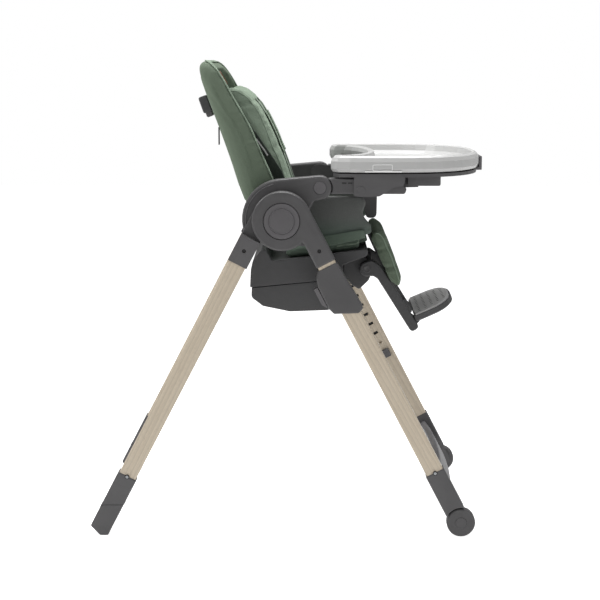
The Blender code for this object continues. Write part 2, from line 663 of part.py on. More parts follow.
def build_backrest():
    rings = [back_ring(up, BACK_HALF * share, rear, front)
             for up, share, rear, front in back_sections()]
    piece("back_shell", "backrest", "green_fabric", loft(rings), cuts=[back_hollow()], angle=50)

    foot = math.degrees(math.atan2(*reversed([a - b for a, b in zip(on_back(0, 1), HUB)])))
    outline = arc(HUB, INLAY_FOOT, foot - 150, foot - 12, 9)
    outline += inlay_front(0)
    outline += [on_back(INLAY_TOP - 0.016, 0.010), on_back(INLAY_TOP, -0.0080),
                on_back(INLAY_TOP + 0.004, -0.0280), on_back(INLAY_TOP - 0.010, -0.0440),
                on_back(0.050, -0.0440)]
    piece("inlay_cushion", "backrest", "inlay_fabric", prism(outline, -INLAY_HALF, INLAY_HALF),
          bevel=0.008, angle=50)

    for side, tag in SIDES:
        outer = inlay_front(0.0050)[:-1]
        inner = inlay_front(0.0015)[:-1]
        piece(f"shoulder_strap_{tag}", "backrest", "webbing",
              slab(outer + inner[::-1], side, 0.038, 0.066))

    low, high = HANDLE_AT, HANDLE_AT + 0.0390
    rear, near = -0.0995, -0.0785
    corners = [on_back(low, rear), on_back(high, rear), on_back(high, near), on_back(low, near)]
    mouth = [on_back(low - 0.01, rear + 0.0030), on_back(low + HANDLE_TRAVEL + 0.005, rear + 0.0030),
             on_back(low + HANDLE_TRAVEL + 0.005, near - 0.0020), on_back(low - 0.01, near - 0.0020)]
    piece("recline_housing", "backrest", "dark_plastic",
          prism(rounded(corners, 0.005, 3), -0.048, 0.048), bevel=0.003, angle=50,
          cuts=[prism(mouth, -0.0385, 0.0385)])
    corners = [on_back(low - 0.0110, rear + 0.0036), on_back(low + 0.0040, rear + 0.0036),
               on_back(low + 0.0040, near - 0.0026), on_back(low - 0.0110, near - 0.0026)]
    piece("recline_lever", "recline_lever", "light_plastic",
          prism(rounded(corners, 0.003, 2), -0.0375, 0.0375), bevel=0.0015, segments=1, angle=50)

    pull = rounded([at(-0.1545, 0.1500), at(-0.1515, 0.1500), at(-0.1515, 0.1910),
                    at(-0.1545, 0.1910)], 0.001, 2)
    piece("zip_pull", "zip_pull", "dark_plastic", prism(pull, -0.0035, 0.0035))


# Calf rest and footrest

def build_calf_rest():
    def line(points):
        return [on_limb(CALF_PIVOT, CALF_ANGLE, along, forward) for along, forward in points]

    end = CALF_LENGTH
    pad = rounded(line([(0.010, -0.0090), (0.010, 0.0120), (0.030, 0.0180), (0.080, 0.0165),
                        (end - 0.015, 0.0110), (end, 0.0030), (end - 0.004, -0.0060),
                        (end - 0.030, -0.0090)]), 0.006, 3)
    piece("calf_pad", "calf_rest", "green_fabric", prism(pad, -CALF_HALF, CALF_HALF),
          bevel=0.005, angle=50)
    board = rounded(line([(-0.004, -0.0165), (-0.004, -0.0100), (end - 0.026, -0.0100),
                          (end - 0.018, -0.0135), (end - 0.026, -0.0165)]), 0.002, 2)
    half = FOOT_ARM_INNER - 0.004
    piece("calf_board", "calf_rest", "dark_plastic", prism(board, -half, half),
          bevel=0.0015, segments=1, angle=50)


def build_footrest():
    low, high = FOOT_ARM_REAR, FOOT_ARM_REAR + FOOT_ARM_WIDTH
    pivot = at(*FOOT_PIVOT)
    corners = kept(arc(pivot, 0.0168, 110, 290, 12))
    corners += [at(FOOT_PIVOT[0] + 0.0160, FOOT_PIVOT[1] - 0.0165, 0.006)]
    corners += [(*on_limb(FOOT_PIVOT, FOOT_ANGLE, along, forward), size)
                for along, forward, size in ((0.032, low, 0.012), (FOOT_LENGTH, low, 0.010),
                                             (FOOT_LENGTH, high, 0.012), (0.012, high, 0.020))]
    corners += [at(FOOT_PIVOT[0] + 0.0120, FOOT_PIVOT[1] + 0.0215, 0.012)]
    outline = rounded(corners, 0.006, 3)
    for side, tag in SIDES:
        piece(f"footrest_arm_{tag}", "footrest", "dark_plastic",
              slab(outline, side, FOOT_ARM_INNER, FOOT_ARM_OUTER), bevel=0.003, angle=50)

    tilt = math.radians(PLATE_TILT)
    rear = on_limb(FOOT_PIVOT, FOOT_ANGLE, PLATE_AT, high + 0.0010)

    def plate_ring(rise, inset):
        """D-shaped outline lying on the tilted plate."""
        wide = PLATE_HALF - inset
        deep = PLATE_DEPTH - inset
        points = [(inset, -wide), (inset, wide)]
        for step in range(13):
            turn = math.pi / 2 - math.pi * step / 12
            flat = math.copysign(abs(math.sin(turn)) ** 0.75, math.sin(turn))
            points.append((deep * 0.35 + deep * 0.65 * abs(math.cos(turn)) ** 0.75, wide * flat))
        ring = []
        for run, y in points:
            x = rear[0] + run * math.cos(tilt) - rise * math.sin(tilt)
            z = rear[1] + run * math.sin(tilt) + rise * math.cos(tilt)
            ring.append((x, y, z))
        return ring

    lugs = []
    for side, tag in SIDES:
        outline = [on_limb(FOOT_PIVOT, FOOT_ANGLE, PLATE_AT + along, forward)
                   for along, forward in ((-0.023, low + 0.004), (-0.023, high - 0.003),
                                          (-0.0085, high + 0.003), (-0.0070, high + 0.018),
                                          (0.0030, high + 0.018), (0.0090, high + 0.002),
                                          (0.0090, low + 0.004))]
        lugs.append(slab(rounded(outline, 0.002, 2), side, 0.0865, FOOT_ARM_INNER - 0.0006))
    piece("footplate", "footplate", "dark_plastic",
          loft([plate_ring(-0.002, 0.005), plate_ring(0.001, 0.0), plate_ring(PLATE_THICK, 0.0)]),
          adds=lugs, angle=40)
    low = PLATE_THICK + FIT
    piece("footplate_mat", "footplate", "mat_rubber",
          loft([plate_ring(low, 0.004), plate_ring(low + MAT_THICK - 0.001, 0.004),
                plate_ring(low + MAT_THICK, 0.006)]), angle=40)


# Armrests and tray

def build_armrest(side, tag):
    pivot = at(*ARM_PIVOT)
    reach = ARM_END_RADIUS + 0.0015
    upper = math.degrees(math.asin((RAIL_TOP - ARM_PIVOT[1]) / reach))
    lower = math.degrees(math.asin((RAIL_BOTTOM - ARM_PIVOT[1]) / reach))
    corners = kept(arc(pivot, reach, upper, lower, 6))
    corners += [at(RAIL_END - 0.004, RAIL_BOTTOM), at(RAIL_END, RAIL_TOP - 0.022),
                at(RAIL_END - 0.022, RAIL_TOP)]
    rail = rounded(corners, 0.006, 3)
    tongue = arc(pivot, 0.022, 60, 300, 12)
    tongue += [at(ARM_PIVOT[0] + 0.050, RAIL_BOTTOM + 0.003),
               at(ARM_PIVOT[0] + 0.050, RAIL_TOP - 0.003)]
    piece(f"armrest_{tag}", "armrests", "dark_plastic",
          slab(rail, side, RAIL_INNER, RAIL_OUTER), bevel=0.003, angle=45,
          adds=[slab(tongue, side, RAIL_INNER + 0.0002, PANEL_INNER - 0.0006)])


def tray_line(inset, front=TRAY_FRONT):
    """Tray outline from above: cut-out behind, straight sides, elliptical front."""
    half = TRAY_HALF - inset
    rear = TRAY_REAR + inset
    long = front - inset - TRAY_STRAIGHT
    points = []
    for step in range(21):
        turn = -math.pi / 2 + math.pi * step / 20
        side = math.copysign(abs(math.sin(turn)) ** 0.85, math.sin(turn))
        points.append((TRAY_STRAIGHT + long * math.cos(turn) ** 0.85, half * side))
    horn = 0.052 - inset
    points += [(rear + 0.040, half), (rear + 0.013, half - 0.006), (rear, half - 0.020),
               (rear + 0.002, half - horn + 0.012)]
    wide = half - horn - 0.004
    for step in range(13):
        turn = math.pi * step / 12
        points.append((rear + 0.010 + TRAY_CUTOUT * math.sin(turn) ** 0.8, wide * math.cos(turn)))
    points += [(rear + 0.002, -half + horn - 0.012), (rear, -half + 0.020),
               (rear + 0.013, -half + 0.006), (rear + 0.040, -half)]
    return points


def flat_ring(points, up):
    return [(HUB_X + x, y, HUB_Z + up) for x, y in points]


def build_tray():
    top = TRAY_Z - 0.0010
    low = top - BASE_THICK
    walls = []
    for side, tag in SIDES:
        housing = rounded([at(0.157, low + 0.003), at(0.157, 0.0510), at(0.187, 0.0500),
                           at(0.2130, 0.0515), at(0.2300, 0.0620), at(0.2480, 0.0725),
                           at(0.2660, 0.0740), at(0.2700, low + 0.003)], 0.006, 2)
        walls.append(slab(housing, side, RAIL_OUTER + 0.0012, TRAY_HALF - 0.0050))
        rib = [at(0.150, low + 0.003), at(0.150, 0.064), at(0.300, 0.068), at(0.310, low + 0.003)]
        walls.append(slab(rib, side, RAIL_INNER - 0.014, RAIL_INNER - 0.0012))
    block = rounded([at(0.276, low + 0.003), at(0.276, 0.0725), at(0.3480, 0.0725),
                     at(0.3480, low + 0.003)], 0.004, 2)
    walls.append(prism(block, -RAIL_INNER - 0.02, RAIL_INNER + 0.02))
    notch = [at(0.405, low - 0.01), at(0.405, top + 0.01), at(TRAY_FRONT + 0.01, top + 0.01),
             at(TRAY_FRONT + 0.01, low - 0.01)]
    outline = tray_line(0.005)
    piece("tray_base", "tray_base", "dark_plastic",
          loft([flat_ring(outline, low), flat_ring(outline, top)]), adds=walls,
          cuts=[prism(notch, -0.0412, 0.0412)], angle=50)

    post = rounded([at(0.165, low - 0.0005, 0.001), at(0.2175, low - 0.0005, 0.001),
                    at(0.2160, -0.020, 0.012), at(0.192, -0.020, 0.010), at(0.180, 0.035)],
                   0.02, 4)
    piece("crotch_post", "tray_base", "dark_plastic", prism(post, -0.017, 0.017),
          bevel=0.004, angle=50)

    rings = []
    for inset, up in ((0.014, 0.0), (0.004, 0.003), (0.0, 0.010), (0.0, 0.0255), (0.004, 0.0340),
                      (0.010, TRAY_HEIGHT), (0.016, TRAY_HEIGHT - 0.002), (0.021, 0.0230),
                      (0.028, 0.0160)):
        rings.append(flat_ring(tray_line(inset), TRAY_Z + up))
    piece("tray_top", "tray_top", "tray_plastic", loft(rings), angle=60)

    lever = rounded([at(0.412, TRAY_Z - 0.0065), at(LEVER_FRONT, TRAY_Z - 0.0065),
                     at(LEVER_FRONT, TRAY_Z + 0.0250), at(TRAY_FRONT + 0.0012, TRAY_Z + 0.0250),
                     at(TRAY_FRONT + 0.0012, TRAY_Z - 0.0010), at(0.412, TRAY_Z - 0.0010)],
                    0.0015, 2)
    piece("tray_lever", "tray_lever", "light_plastic", prism(lever, -0.040, 0.040), angle=50)


def build():
    for side, tag in SIDES:
        build_front_frame(side, tag)
        build_rear_frame(side, tag)
        build_carriage(side, tag)
        build_armrest(side, tag)
    build_crossbar()
    build_rear_bar()
    build_seat()
    build_backrest()
    build_calf_rest()
    build_footrest()
    build_tray()


build()
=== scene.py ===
"""Folding baby high chair on ash legs: finishes and soft goods over its moving frame."""

import math

import bmesh
import bpy
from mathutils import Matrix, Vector
from mathutils.bvhtree import BVHTree


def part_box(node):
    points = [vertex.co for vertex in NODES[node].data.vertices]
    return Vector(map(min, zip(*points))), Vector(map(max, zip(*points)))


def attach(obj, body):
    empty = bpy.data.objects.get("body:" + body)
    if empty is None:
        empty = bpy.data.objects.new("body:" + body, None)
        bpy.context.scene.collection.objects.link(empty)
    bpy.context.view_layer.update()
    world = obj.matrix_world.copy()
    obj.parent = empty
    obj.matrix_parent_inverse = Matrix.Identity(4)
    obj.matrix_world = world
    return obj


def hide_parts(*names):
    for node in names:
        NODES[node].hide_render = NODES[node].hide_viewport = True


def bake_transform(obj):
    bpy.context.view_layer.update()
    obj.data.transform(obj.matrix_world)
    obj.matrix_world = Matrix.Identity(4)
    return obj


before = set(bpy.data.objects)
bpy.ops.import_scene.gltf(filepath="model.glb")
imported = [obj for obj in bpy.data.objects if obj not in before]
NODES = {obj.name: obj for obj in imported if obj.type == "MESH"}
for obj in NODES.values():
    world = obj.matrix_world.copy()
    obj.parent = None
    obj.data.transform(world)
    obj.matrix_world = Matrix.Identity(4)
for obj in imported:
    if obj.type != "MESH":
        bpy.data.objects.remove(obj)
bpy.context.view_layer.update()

bl_info = {
    "name": "Baby high chair",
    "version": (1, 0, 0),
    "blender": (4, 5, 0),
    "location": "View3D > Sidebar > High chair",
    "description": "Dresses the folding high chair with its finishes, padding, straps and fittings",
    "category": "Add Mesh",
}

SIDES = ((-1, "right"), (1, "left"))

# Places that the pieces are laid out from, in metres
LEG_ANGLE = math.radians(27.5)     # each leg from the vertical
LEG_OFFSET = 0.0425                # leg centre line from the folding axis
SCREW_AT = 0.0954                  # screws down each sleeve
BACK_LEAN = math.radians(19.5)
CALF_ANGLE = math.radians(24.8)
HUB_X = -0.0131
HUB_Z = 0.032 + 0.7862 * math.cos(LEG_ANGLE) - LEG_OFFSET * math.sin(LEG_ANGLE)


def at(forward, up):
    """Place in the side view, from the folding axis."""
    return HUB_X + forward, HUB_Z + up


def on_back(up, forward):
    """Place up the lean of the back and in front of its line."""
    return at(forward * math.cos(BACK_LEAN) - up * math.sin(BACK_LEAN),
              up * math.cos(BACK_LEAN) + forward * math.sin(BACK_LEAN))


def on_leg(way, station, across):
    """Place down a leg, way 1 for the front leg and -1 for the rear one, and across it."""
    offset = LEG_OFFSET + across
    return at(way * (offset * math.cos(LEG_ANGLE) + station * math.sin(LEG_ANGLE)),
              offset * math.sin(LEG_ANGLE) - station * math.cos(LEG_ANGLE))


def on_seat(forward, rise):
    """Place above the slope of the seat cushion."""
    return at(forward, -0.0400 + 0.128 * (forward - 0.178) + rise)


def on_calf(along, forward):
    """Place down the calf rest and in front of its line."""
    return at(0.200 + along * math.sin(CALF_ANGLE) + forward * math.cos(CALF_ANGLE),
              -0.0275 - along * math.cos(CALF_ANGLE) + forward * math.sin(CALF_ANGLE))


# Sizes and colours that a user would change

class HighChairColours(bpy.types.PropertyGroup):
    """Colours of the finishes, as sRGB hex."""

    charcoal: bpy.props.StringProperty(
        name="Charcoal ABS", description="Hubs, sleeves, boots and arms", default="#4b4a4b")
    graphite: bpy.props.StringProperty(
        name="Graphite polypropylene", description="Seat shell and footrest", default="#414142")
    grey: bpy.props.StringProperty(
        name="Grey ABS", description="Hub caps, triggers and small buttons", default="#5a585a")
    bar: bpy.props.StringProperty(
        name="Crossbar grey", description="Front crossbar between the boots", default="#5f5e60")
    wheel: bpy.props.StringProperty(
        name="Wheel nylon", description="Front wheels", default="#4a494a")
    tray: bpy.props.StringProperty(
        name="Tray polypropylene", description="Lift-off tray top", default="#bcbcbb")
    ash: bpy.props.StringProperty(
        name="Ash", description="Lacquered ash of the legs", default="#cdc0ac")
    ash_dark: bpy.props.StringProperty(
        name="Ash grain", description="Darker late wood and pores", default="#a39179")
    sage: bpy.props.StringProperty(
        name="Sage canvas", description="Back cover, calf pad and seat", default="#63705f")
    sage_light: bpy.props.StringProperty(
        name="Light sage", description="Inlay cushion and the binding", default="#829180")
    # charcoal: the zip tape's own colour, and on the seat sides painted shade over their green
    # cloth
    shade: bpy.props.StringProperty(
        name="Charcoal canvas and painted seat shade", description="Zip tape, and painted shade on the upper seat sides", default="#5f615f")
    webbing: bpy.props.StringProperty(
        name="Webbing", description="Harness straps", default="#677466")
    leather: bpy.props.StringProperty(
        name="Tag leather", description="Plain tag on the back", default="#7a4a2c")


class HighChairSizes(bpy.types.PropertyGroup):
    """Sizes of the soft goods and small fittings."""

    thread: bpy.props.FloatProperty(
        name="Thread spacing", description="Distance between threads of the canvas as drawn",
        default=0.0016, min=0.0004, unit="LENGTH")
    seam: bpy.props.FloatProperty(
        name="Seam radius", description="Radius of the corded seams",
        default=0.0016, min=0.0005, unit="LENGTH")
    voxel: bpy.props.FloatProperty(
        name="Cloth grid", description="Grid that the padding is remeshed to",
        default=0.0052, min=0.003, unit="LENGTH")
    strap: bpy.props.FloatProperty(
        name="Strap width", description="Width of the harness webbing",
        default=0.025, min=0.01, unit="LENGTH")
    stitch: bpy.props.FloatProperty(
        name="Stitch length", description="Length of one lockstitch",
        default=0.0042, min=0.001, unit="LENGTH")


# Finishes

def linear(code):
    """sRGB hex to the linear colour that the shader takes."""
    parts = [int(code[i:i + 2], 16) / 255 for i in (1, 3, 5)]
    light = [c / 12.92 if c <= 0.04045 else ((c + 0.055) / 1.055) ** 2.4 for c in parts]
    return tuple(light) + (1.0,)


def tint(code, share):
    """The same colour, lighter above 1 and darker below it, as linear."""
    return tuple(min(1.0, c * share) for c in linear(code)[:3]) + (1.0,)


def add(tree, kind, settings=None, links=None):
    """Adds a node, then sets its attributes, sockets and colour stops, and links its sockets."""
    node = tree.nodes.new(kind)
    for key, value in (settings or {}).items():
        if key == "stops":
            stops = sorted(value)
            for place, _ in stops[1:-1]:
                node.color_ramp.elements.new(place)
            for element, (place, colour) in zip(node.color_ramp.elements, stops):
                element.position = place
                element.color = colour
        elif isinstance(key, str) and hasattr(node, key) and key not in node.inputs:
            setattr(node, key, value)
        else:
            node.inputs[key].default_value = value
    for key, socket in (links or {}).items():
        tree.links.new(socket, node.inputs[key])
    return node


def start(name):
    """An empty material with its output, and the object coordinates that patterns use."""
    material = bpy.data.materials.new(name)
    material.use_nodes = True
    tree = material.node_tree
    tree.nodes.clear()
    where = add(tree, "ShaderNodeTexCoord").outputs["Object"]
    return material, tree, where


def close(tree, shader, base=None):
    """Joins the shader to the output."""
    add(tree, "ShaderNodeOutputMaterial", links={"Surface": shader.outputs["BSDF"]})
    if base is not None:
        tree.links.new(base, shader.inputs["Base Color"])


def moulded(name, code, rough, grain, depth, contrast=0.10):
    """Injection-moulded plastic with a spark-eroded texture.

    Fine pits break up the highlight into a soft satin, the colour drifts a little where the
    melt flowed, and handling has polished the outer edges paler and smoother.
    """
    material, tree, where = start(name)
    pits = add(tree, "ShaderNodeTexNoise", {"Scale": 1 / grain, "Detail": 3.0, "Roughness": 0.6},
               {"Vector": where})
    flow = add(tree, "ShaderNodeTexNoise", {"Scale": 14.0, "Detail": 2.0, "Distortion": 0.6},
               {"Vector": where})
    tone = add(tree, "ShaderNodeValToRGB",
               {"stops": [(0.30, tint(code, 1 - contrast)), (0.70, tint(code, 1 + contrast))]},
               {"Fac": flow.outputs["Fac"]}).outputs["Color"]
    edge = add(tree, "ShaderNodeNewGeometry").outputs["Pointiness"]
    worn = add(tree, "ShaderNodeMapRange", {"From Min": 0.53, "From Max": 0.62,
                                            "To Min": 0.0, "To Max": 0.45}, {"Value": edge})
    base = add(tree, "ShaderNodeMix", {"data_type": "RGBA", 7: tint(code, 1.7)},
               {0: worn.outputs["Result"], 6: tone})
    gloss = add(tree, "ShaderNodeMapRange", {"From Min": 0.3, "From Max": 0.7,
                                             "To Min": rough - 0.07, "To Max": rough + 0.07},
                {"Value": pits.outputs["Fac"]})
    bump = add(tree, "ShaderNodeBump", {"Strength": depth, "Distance": grain * 0.35},
               {"Height": pits.outputs["Fac"]})
    shader = add(tree, "ShaderNodeBsdfPrincipled", {"IOR": 1.53},
                 {"Roughness": gloss.outputs["Result"], "Normal": bump.outputs["Normal"]})
    close(tree, shader, base.outputs[2])
    return material


def lacquered_ash(name, code, dark, turn):
    """Ash, sawn along the grain, sanded and sealed with a matt lacquer.

    Long pale bands of early wood run down the leg between narrow darker late wood, with short
    open pores along them. The lacquer gives a low even sheen and fills all but the pores.
    """
    material, tree, where = start(name)
    # growth bands 5 mm wide and about 0.4 m long along the leg
    lie = add(tree, "ShaderNodeMapping", {"vector_type": "TEXTURE", "Rotation": (0.02, turn, 0.03),
                                          "Scale": (0.0034, 0.0034, 0.34)}, {"Vector": where})
    sway = add(tree, "ShaderNodeTexNoise", {"Scale": 0.9, "Detail": 3.0, "Roughness": 0.55,
                                            "Distortion": 0.4}, {"Vector": lie.outputs["Vector"]})
    bands = add(tree, "ShaderNodeTexWave", {"wave_type": "BANDS", "bands_direction": "DIAGONAL",
                                            "wave_profile": "SAW", "Scale": 0.22, "Distortion": 4.5,
                                            "Detail": 2.0, "Detail Scale": 0.8},
                {"Vector": lie.outputs["Vector"]})
    # pores 0.35 mm across, drawn at 0.6 mm so that they show, and 9 mm long
    fine = add(tree, "ShaderNodeMapping", {"vector_type": "TEXTURE", "Rotation": (0.0, turn, 0.0),
                                           "Scale": (0.0006, 0.0006, 0.009)}, {"Vector": where})
    pores = add(tree, "ShaderNodeTexNoise", {"Scale": 1.0, "Detail": 2.0, "Roughness": 0.5},
                {"Vector": fine.outputs["Vector"]})
    tone = add(tree, "ShaderNodeValToRGB",
               {"stops": [(0.0, tint(code, 1.03)), (0.55, tint(code, 0.97)),
                          (0.85, tint(code, 0.90)), (1.0, tint(code, 0.84))]},
               {"Fac": bands.outputs["Fac"]}).outputs["Color"]
    drift = add(tree, "ShaderNodeValToRGB",
                {"stops": [(0.35, (0.93, 0.92, 0.90, 1.0)), (0.65, (1.0, 1.0, 1.0, 1.0))]},
                {"Fac": sway.outputs["Fac"]}).outputs["Color"]
    wood = add(tree, "ShaderNodeMix", {"data_type": "RGBA", "blend_type": "MULTIPLY", 0: 0.8},
               {6: tone, 7: drift})
    open_pore = add(tree, "ShaderNodeMapRange", {"From Min": 0.58, "From Max": 0.72,
                                                 "To Min": 0.0, "To Max": 0.45},
                    {"Value": pores.outputs["Fac"]})
    base = add(tree, "ShaderNodeMix", {"data_type": "RGBA", 7: tint(dark, 0.72)},
               {0: open_pore.outputs["Result"], 6: wood.outputs[2]})
    gloss = add(tree, "ShaderNodeMapRange", {"To Min": 0.46, "To Max": 0.66},
                {"Value": open_pore.outputs["Result"]})
    bump = add(tree, "ShaderNodeBump", {"Strength": 0.25, "Distance": 0.0002, "invert": True},
               {"Height": open_pore.outputs["Result"]})
    shader = add(tree, "ShaderNodeBsdfPrincipled", {"IOR": 1.50, "Coat Weight": 0.12,
                                                    "Coat Roughness": 0.35},
                 {"Roughness": gloss.outputs["Result"], "Normal": bump.outputs["Normal"]})
    close(tree, shader, base.outputs[2])
    return material


def satin_polypropylene(name, code):
    """Polypropylene moulded in a polished tool, then wiped clean many times.

    Light soaks a little way in, so edges glow softly, and very fine wipe marks and shallow
    waviness keep the gloss from looking like glass.
    """
    material, tree, where = start(name)
    waves = add(tree, "ShaderNodeTexNoise", {"Scale": 22.0, "Detail": 2.0}, {"Vector": where})
    wipe = add(tree, "ShaderNodeTexNoise", {"Scale": 1 / 0.0012, "Detail": 2.0}, {"Vector": where})
    tone = add(tree, "ShaderNodeValToRGB",
               {"stops": [(0.3, tint(code, 0.97)), (0.7, tint(code, 1.02))]},
               {"Fac": waves.outputs["Fac"]}).outputs["Color"]
    gloss = add(tree, "ShaderNodeMapRange", {"From Min": 0.3, "From Max": 0.7, "To Min": 0.30,
                                             "To Max": 0.40}, {"Value": wipe.outputs["Fac"]})
    bump = add(tree, "ShaderNodeBump", {"Strength": 0.05, "Distance": 0.001},
               {"Height": waves.outputs["Fac"]})
    shader = add(tree, "ShaderNodeBsdfPrincipled",
                 {"IOR": 1.49, "Subsurface Weight": 0.08, "Subsurface Radius": (1.0, 0.95, 0.9),
                  "Subsurface Scale": 0.003},
                 {"Roughness": gloss.outputs["Result"], "Normal": bump.outputs["Normal"]})
    close(tree, shader, tone)
    return material


def ribbed_rubber(name, code):
    """Thermoplastic rubber, moulded in ribs so that small feet don't slip.

    Ribs 5 mm apart catch the light as thin lines, with their grooves a little darker as painted
    shade, and the skin between them is dull and dusty.
    """
    material, tree, where = start(name)
    ribs = add(tree, "ShaderNodeTexWave", {"wave_type": "BANDS", "bands_direction": "Y",
                                           "Scale": 2 * math.pi / 0.0060 / 20},
               {"Vector": where})
    dust = add(tree, "ShaderNodeTexNoise", {"Scale": 1 / 0.002, "Detail": 3.0}, {"Vector": where})
    tone = add(tree, "ShaderNodeValToRGB",
               {"stops": [(0.3, tint(code, 0.88)), (0.7, tint(code, 1.1))]},
               {"Fac": dust.outputs["Fac"]}).outputs["Color"]
    # grooves between the ribs a little darker: painted shade
    shade = add(tree, "ShaderNodeMapRange", {"From Min": 0.0, "From Max": 0.35, "To Min": 0.90,
                                             "To Max": 1.0}, {"Value": ribs.outputs["Fac"]})
    base = add(tree, "ShaderNodeMix", {"data_type": "RGBA", 6: tint(code, 0.6)},
               {0: shade.outputs["Result"], 7: tone})
    bump = add(tree, "ShaderNodeBump", {"Strength": 0.6, "Distance": 0.0012},
               {"Height": ribs.outputs["Fac"]})
    shader = add(tree, "ShaderNodeBsdfPrincipled", {"IOR": 1.52, "Roughness": 0.72},
                 {"Normal": bump.outputs["Normal"]})
    close(tree, shader, base.outputs[2])
    return material


def woven(name, code, thread, melange, sheen, puckers=0.0, lower=None):
    """Polyester canvas in a plain weave, spun from mixed light and dark fibre.

    Threads crossing each other give a fine check of bumps, the mixed fibre a heathered colour,
    and the loose fibre ends a pale bloom where the cloth turns away. The threads are 0.5 mm
    apart on the real cloth and are drawn coarser, so that the weave shows.
    """
    material, tree, where = start(name)
    lean = add(tree, "ShaderNodeMapping", {"vector_type": "TEXTURE",
                                           "Rotation": (0.0, -BACK_LEAN, 0.0)}, {"Vector": where})
    facing = add(tree, "ShaderNodeMapping", {"vector_type": "TEXTURE",
                                             "Rotation": (0.0, -BACK_LEAN, 0.0)},
                 {"Vector": add(tree, "ShaderNodeTexCoord").outputs["Normal"]})
    sides = add(tree, "ShaderNodeSeparateXYZ", links={"Vector": facing.outputs["Vector"]})
    threads = []
    for direction in ("X", "Y", "Z"):
        wave = add(tree, "ShaderNodeTexWave",
                   {"wave_type": "BANDS", "bands_direction": direction,
                    "Scale": 2 * math.pi / thread / 20, "Distortion": 0.35,
                    "Detail": 1.0, "Detail Scale": 2.0},
                   {"Vector": lean.outputs["Vector"]})
        # a thread set fades out where the cloth lies across it, so that it can't draw contours
        square_on = add(tree, "ShaderNodeMath", {"operation": "ABSOLUTE"},
                        {0: sides.outputs[direction]})
        share = add(tree, "ShaderNodeMapRange", {"From Min": 0.55, "From Max": 0.80,
                                                 "To Min": 1.0, "To Max": 0.0},
                    {"Value": square_on.outputs[0]})
        threads.append(add(tree, "ShaderNodeMix", {"data_type": "FLOAT", 2: 0.5},
                           {0: share.outputs["Result"], 3: wave.outputs["Fac"]}).outputs[0])
    cross = add(tree, "ShaderNodeMath", {"operation": "ADD"}, {0: threads[0], 1: threads[1]})
    weave = add(tree, "ShaderNodeMath", {"operation": "ADD"}, {0: cross.outputs[0], 1: threads[2]})
    fibre = add(tree, "ShaderNodeTexNoise", {"Scale": 1 / 0.0011, "Detail": 3.0, "Roughness": 0.7},
                {"Vector": where})
    fade = add(tree, "ShaderNodeTexNoise", {"Scale": 9.0, "Detail": 2.0}, {"Vector": where})
    tone = add(tree, "ShaderNodeValToRGB",
               {"stops": [(0.30, tint(code, 1 - melange)), (0.72, tint(code, 1 + melange))]},
               {"Fac": fibre.outputs["Fac"]}).outputs["Color"]
    worn = add(tree, "ShaderNodeValToRGB",
               {"stops": [(0.30, (0.93, 0.94, 0.93, 1.0)), (0.70, (1.0, 1.0, 1.0, 1.0))]},
               {"Fac": fade.outputs["Fac"]}).outputs["Color"]
    faded = add(tree, "ShaderNodeMix", {"data_type": "RGBA", "blend_type": "MULTIPLY", 0: 1.0},
                {6: tone, 7: worn})
    if lower:
        # the cloth's own colour below low, blending up to the darker base colour above high, which
        # is painted shade: (colour, low, high)
        height = add(tree, "ShaderNodeSeparateXYZ", links={"Vector": where}).outputs["Z"]
        share = add(tree, "ShaderNodeMapRange", {"From Min": lower[1], "From Max": lower[2]},
                    {"Value": height})
        faded = add(tree, "ShaderNodeMix", {"data_type": "RGBA", 6: linear(lower[0])},
                    {0: share.outputs["Result"], 7: faded.outputs[2]})
    gaps = add(tree, "ShaderNodeMapRange", {"From Min": 0.7, "From Max": 2.1, "To Min": 0.80,
                                            "To Max": 1.08}, {"Value": weave.outputs[0]})
    base = add(tree, "ShaderNodeMix", {"data_type": "RGBA", "blend_type": "MULTIPLY", 0: 1.0},
               {6: faded.outputs[2], 7: gaps.outputs["Result"]})
    soft = add(tree, "ShaderNodeTexNoise", {"Scale": 38.0, "Detail": 2.0}, {"Vector": where})
    rumple = add(tree, "ShaderNodeBump", {"Strength": 0.25 + puckers, "Distance": 0.004},
                 {"Height": soft.outputs["Fac"]})
    bump = add(tree, "ShaderNodeBump", {"Strength": 0.45, "Distance": thread * 0.30},
               {"Height": weave.outputs[0], "Normal": rumple.outputs["Normal"]})
    shader = add(tree, "ShaderNodeBsdfPrincipled",
                 {"IOR": 1.46, "Roughness": 0.86, "Sheen Weight": sheen, "Sheen Roughness": 0.45,
                  "Sheen Tint": tint(code, 2.2)},
                 {"Normal": bump.outputs["Normal"]})
    close(tree, shader, base.outputs[2])
    return material


def strap_webbing(name, code):
    """Polyester webbing woven on a narrow loom, in ribs across the strap.

    Tight ribs 2 mm apart show as fine lines, with a dull lustre along each.
    """
    material, tree, where = start(name)
    ribs = add(tree, "ShaderNodeTexWave", {"wave_type": "BANDS", "bands_direction": "Z",
                                           "Scale": 2 * math.pi / 0.0022 / 20, "Distortion": 0.4},
               {"Vector": where})
    fibre = add(tree, "ShaderNodeTexNoise", {"Scale": 1 / 0.0008, "Detail": 2.0}, {"Vector": where})
    tone = add(tree, "ShaderNodeValToRGB",
               {"stops": [(0.3, tint(code, 0.80)), (0.7, tint(code, 1.25))]},
               {"Fac": fibre.outputs["Fac"]}).outputs["Color"]
    bump = add(tree, "ShaderNodeBump", {"Strength": 0.6, "Distance": 0.0006},
               {"Height": ribs.outputs["Fac"]})
    shader = add(tree, "ShaderNodeBsdfPrincipled", {"IOR": 1.5, "Roughness": 0.62,
                                                    "Sheen Weight": 0.15, "Sheen Roughness": 0.4},
                 {"Normal": bump.outputs["Normal"]})
    close(tree, shader, tone)
    return material


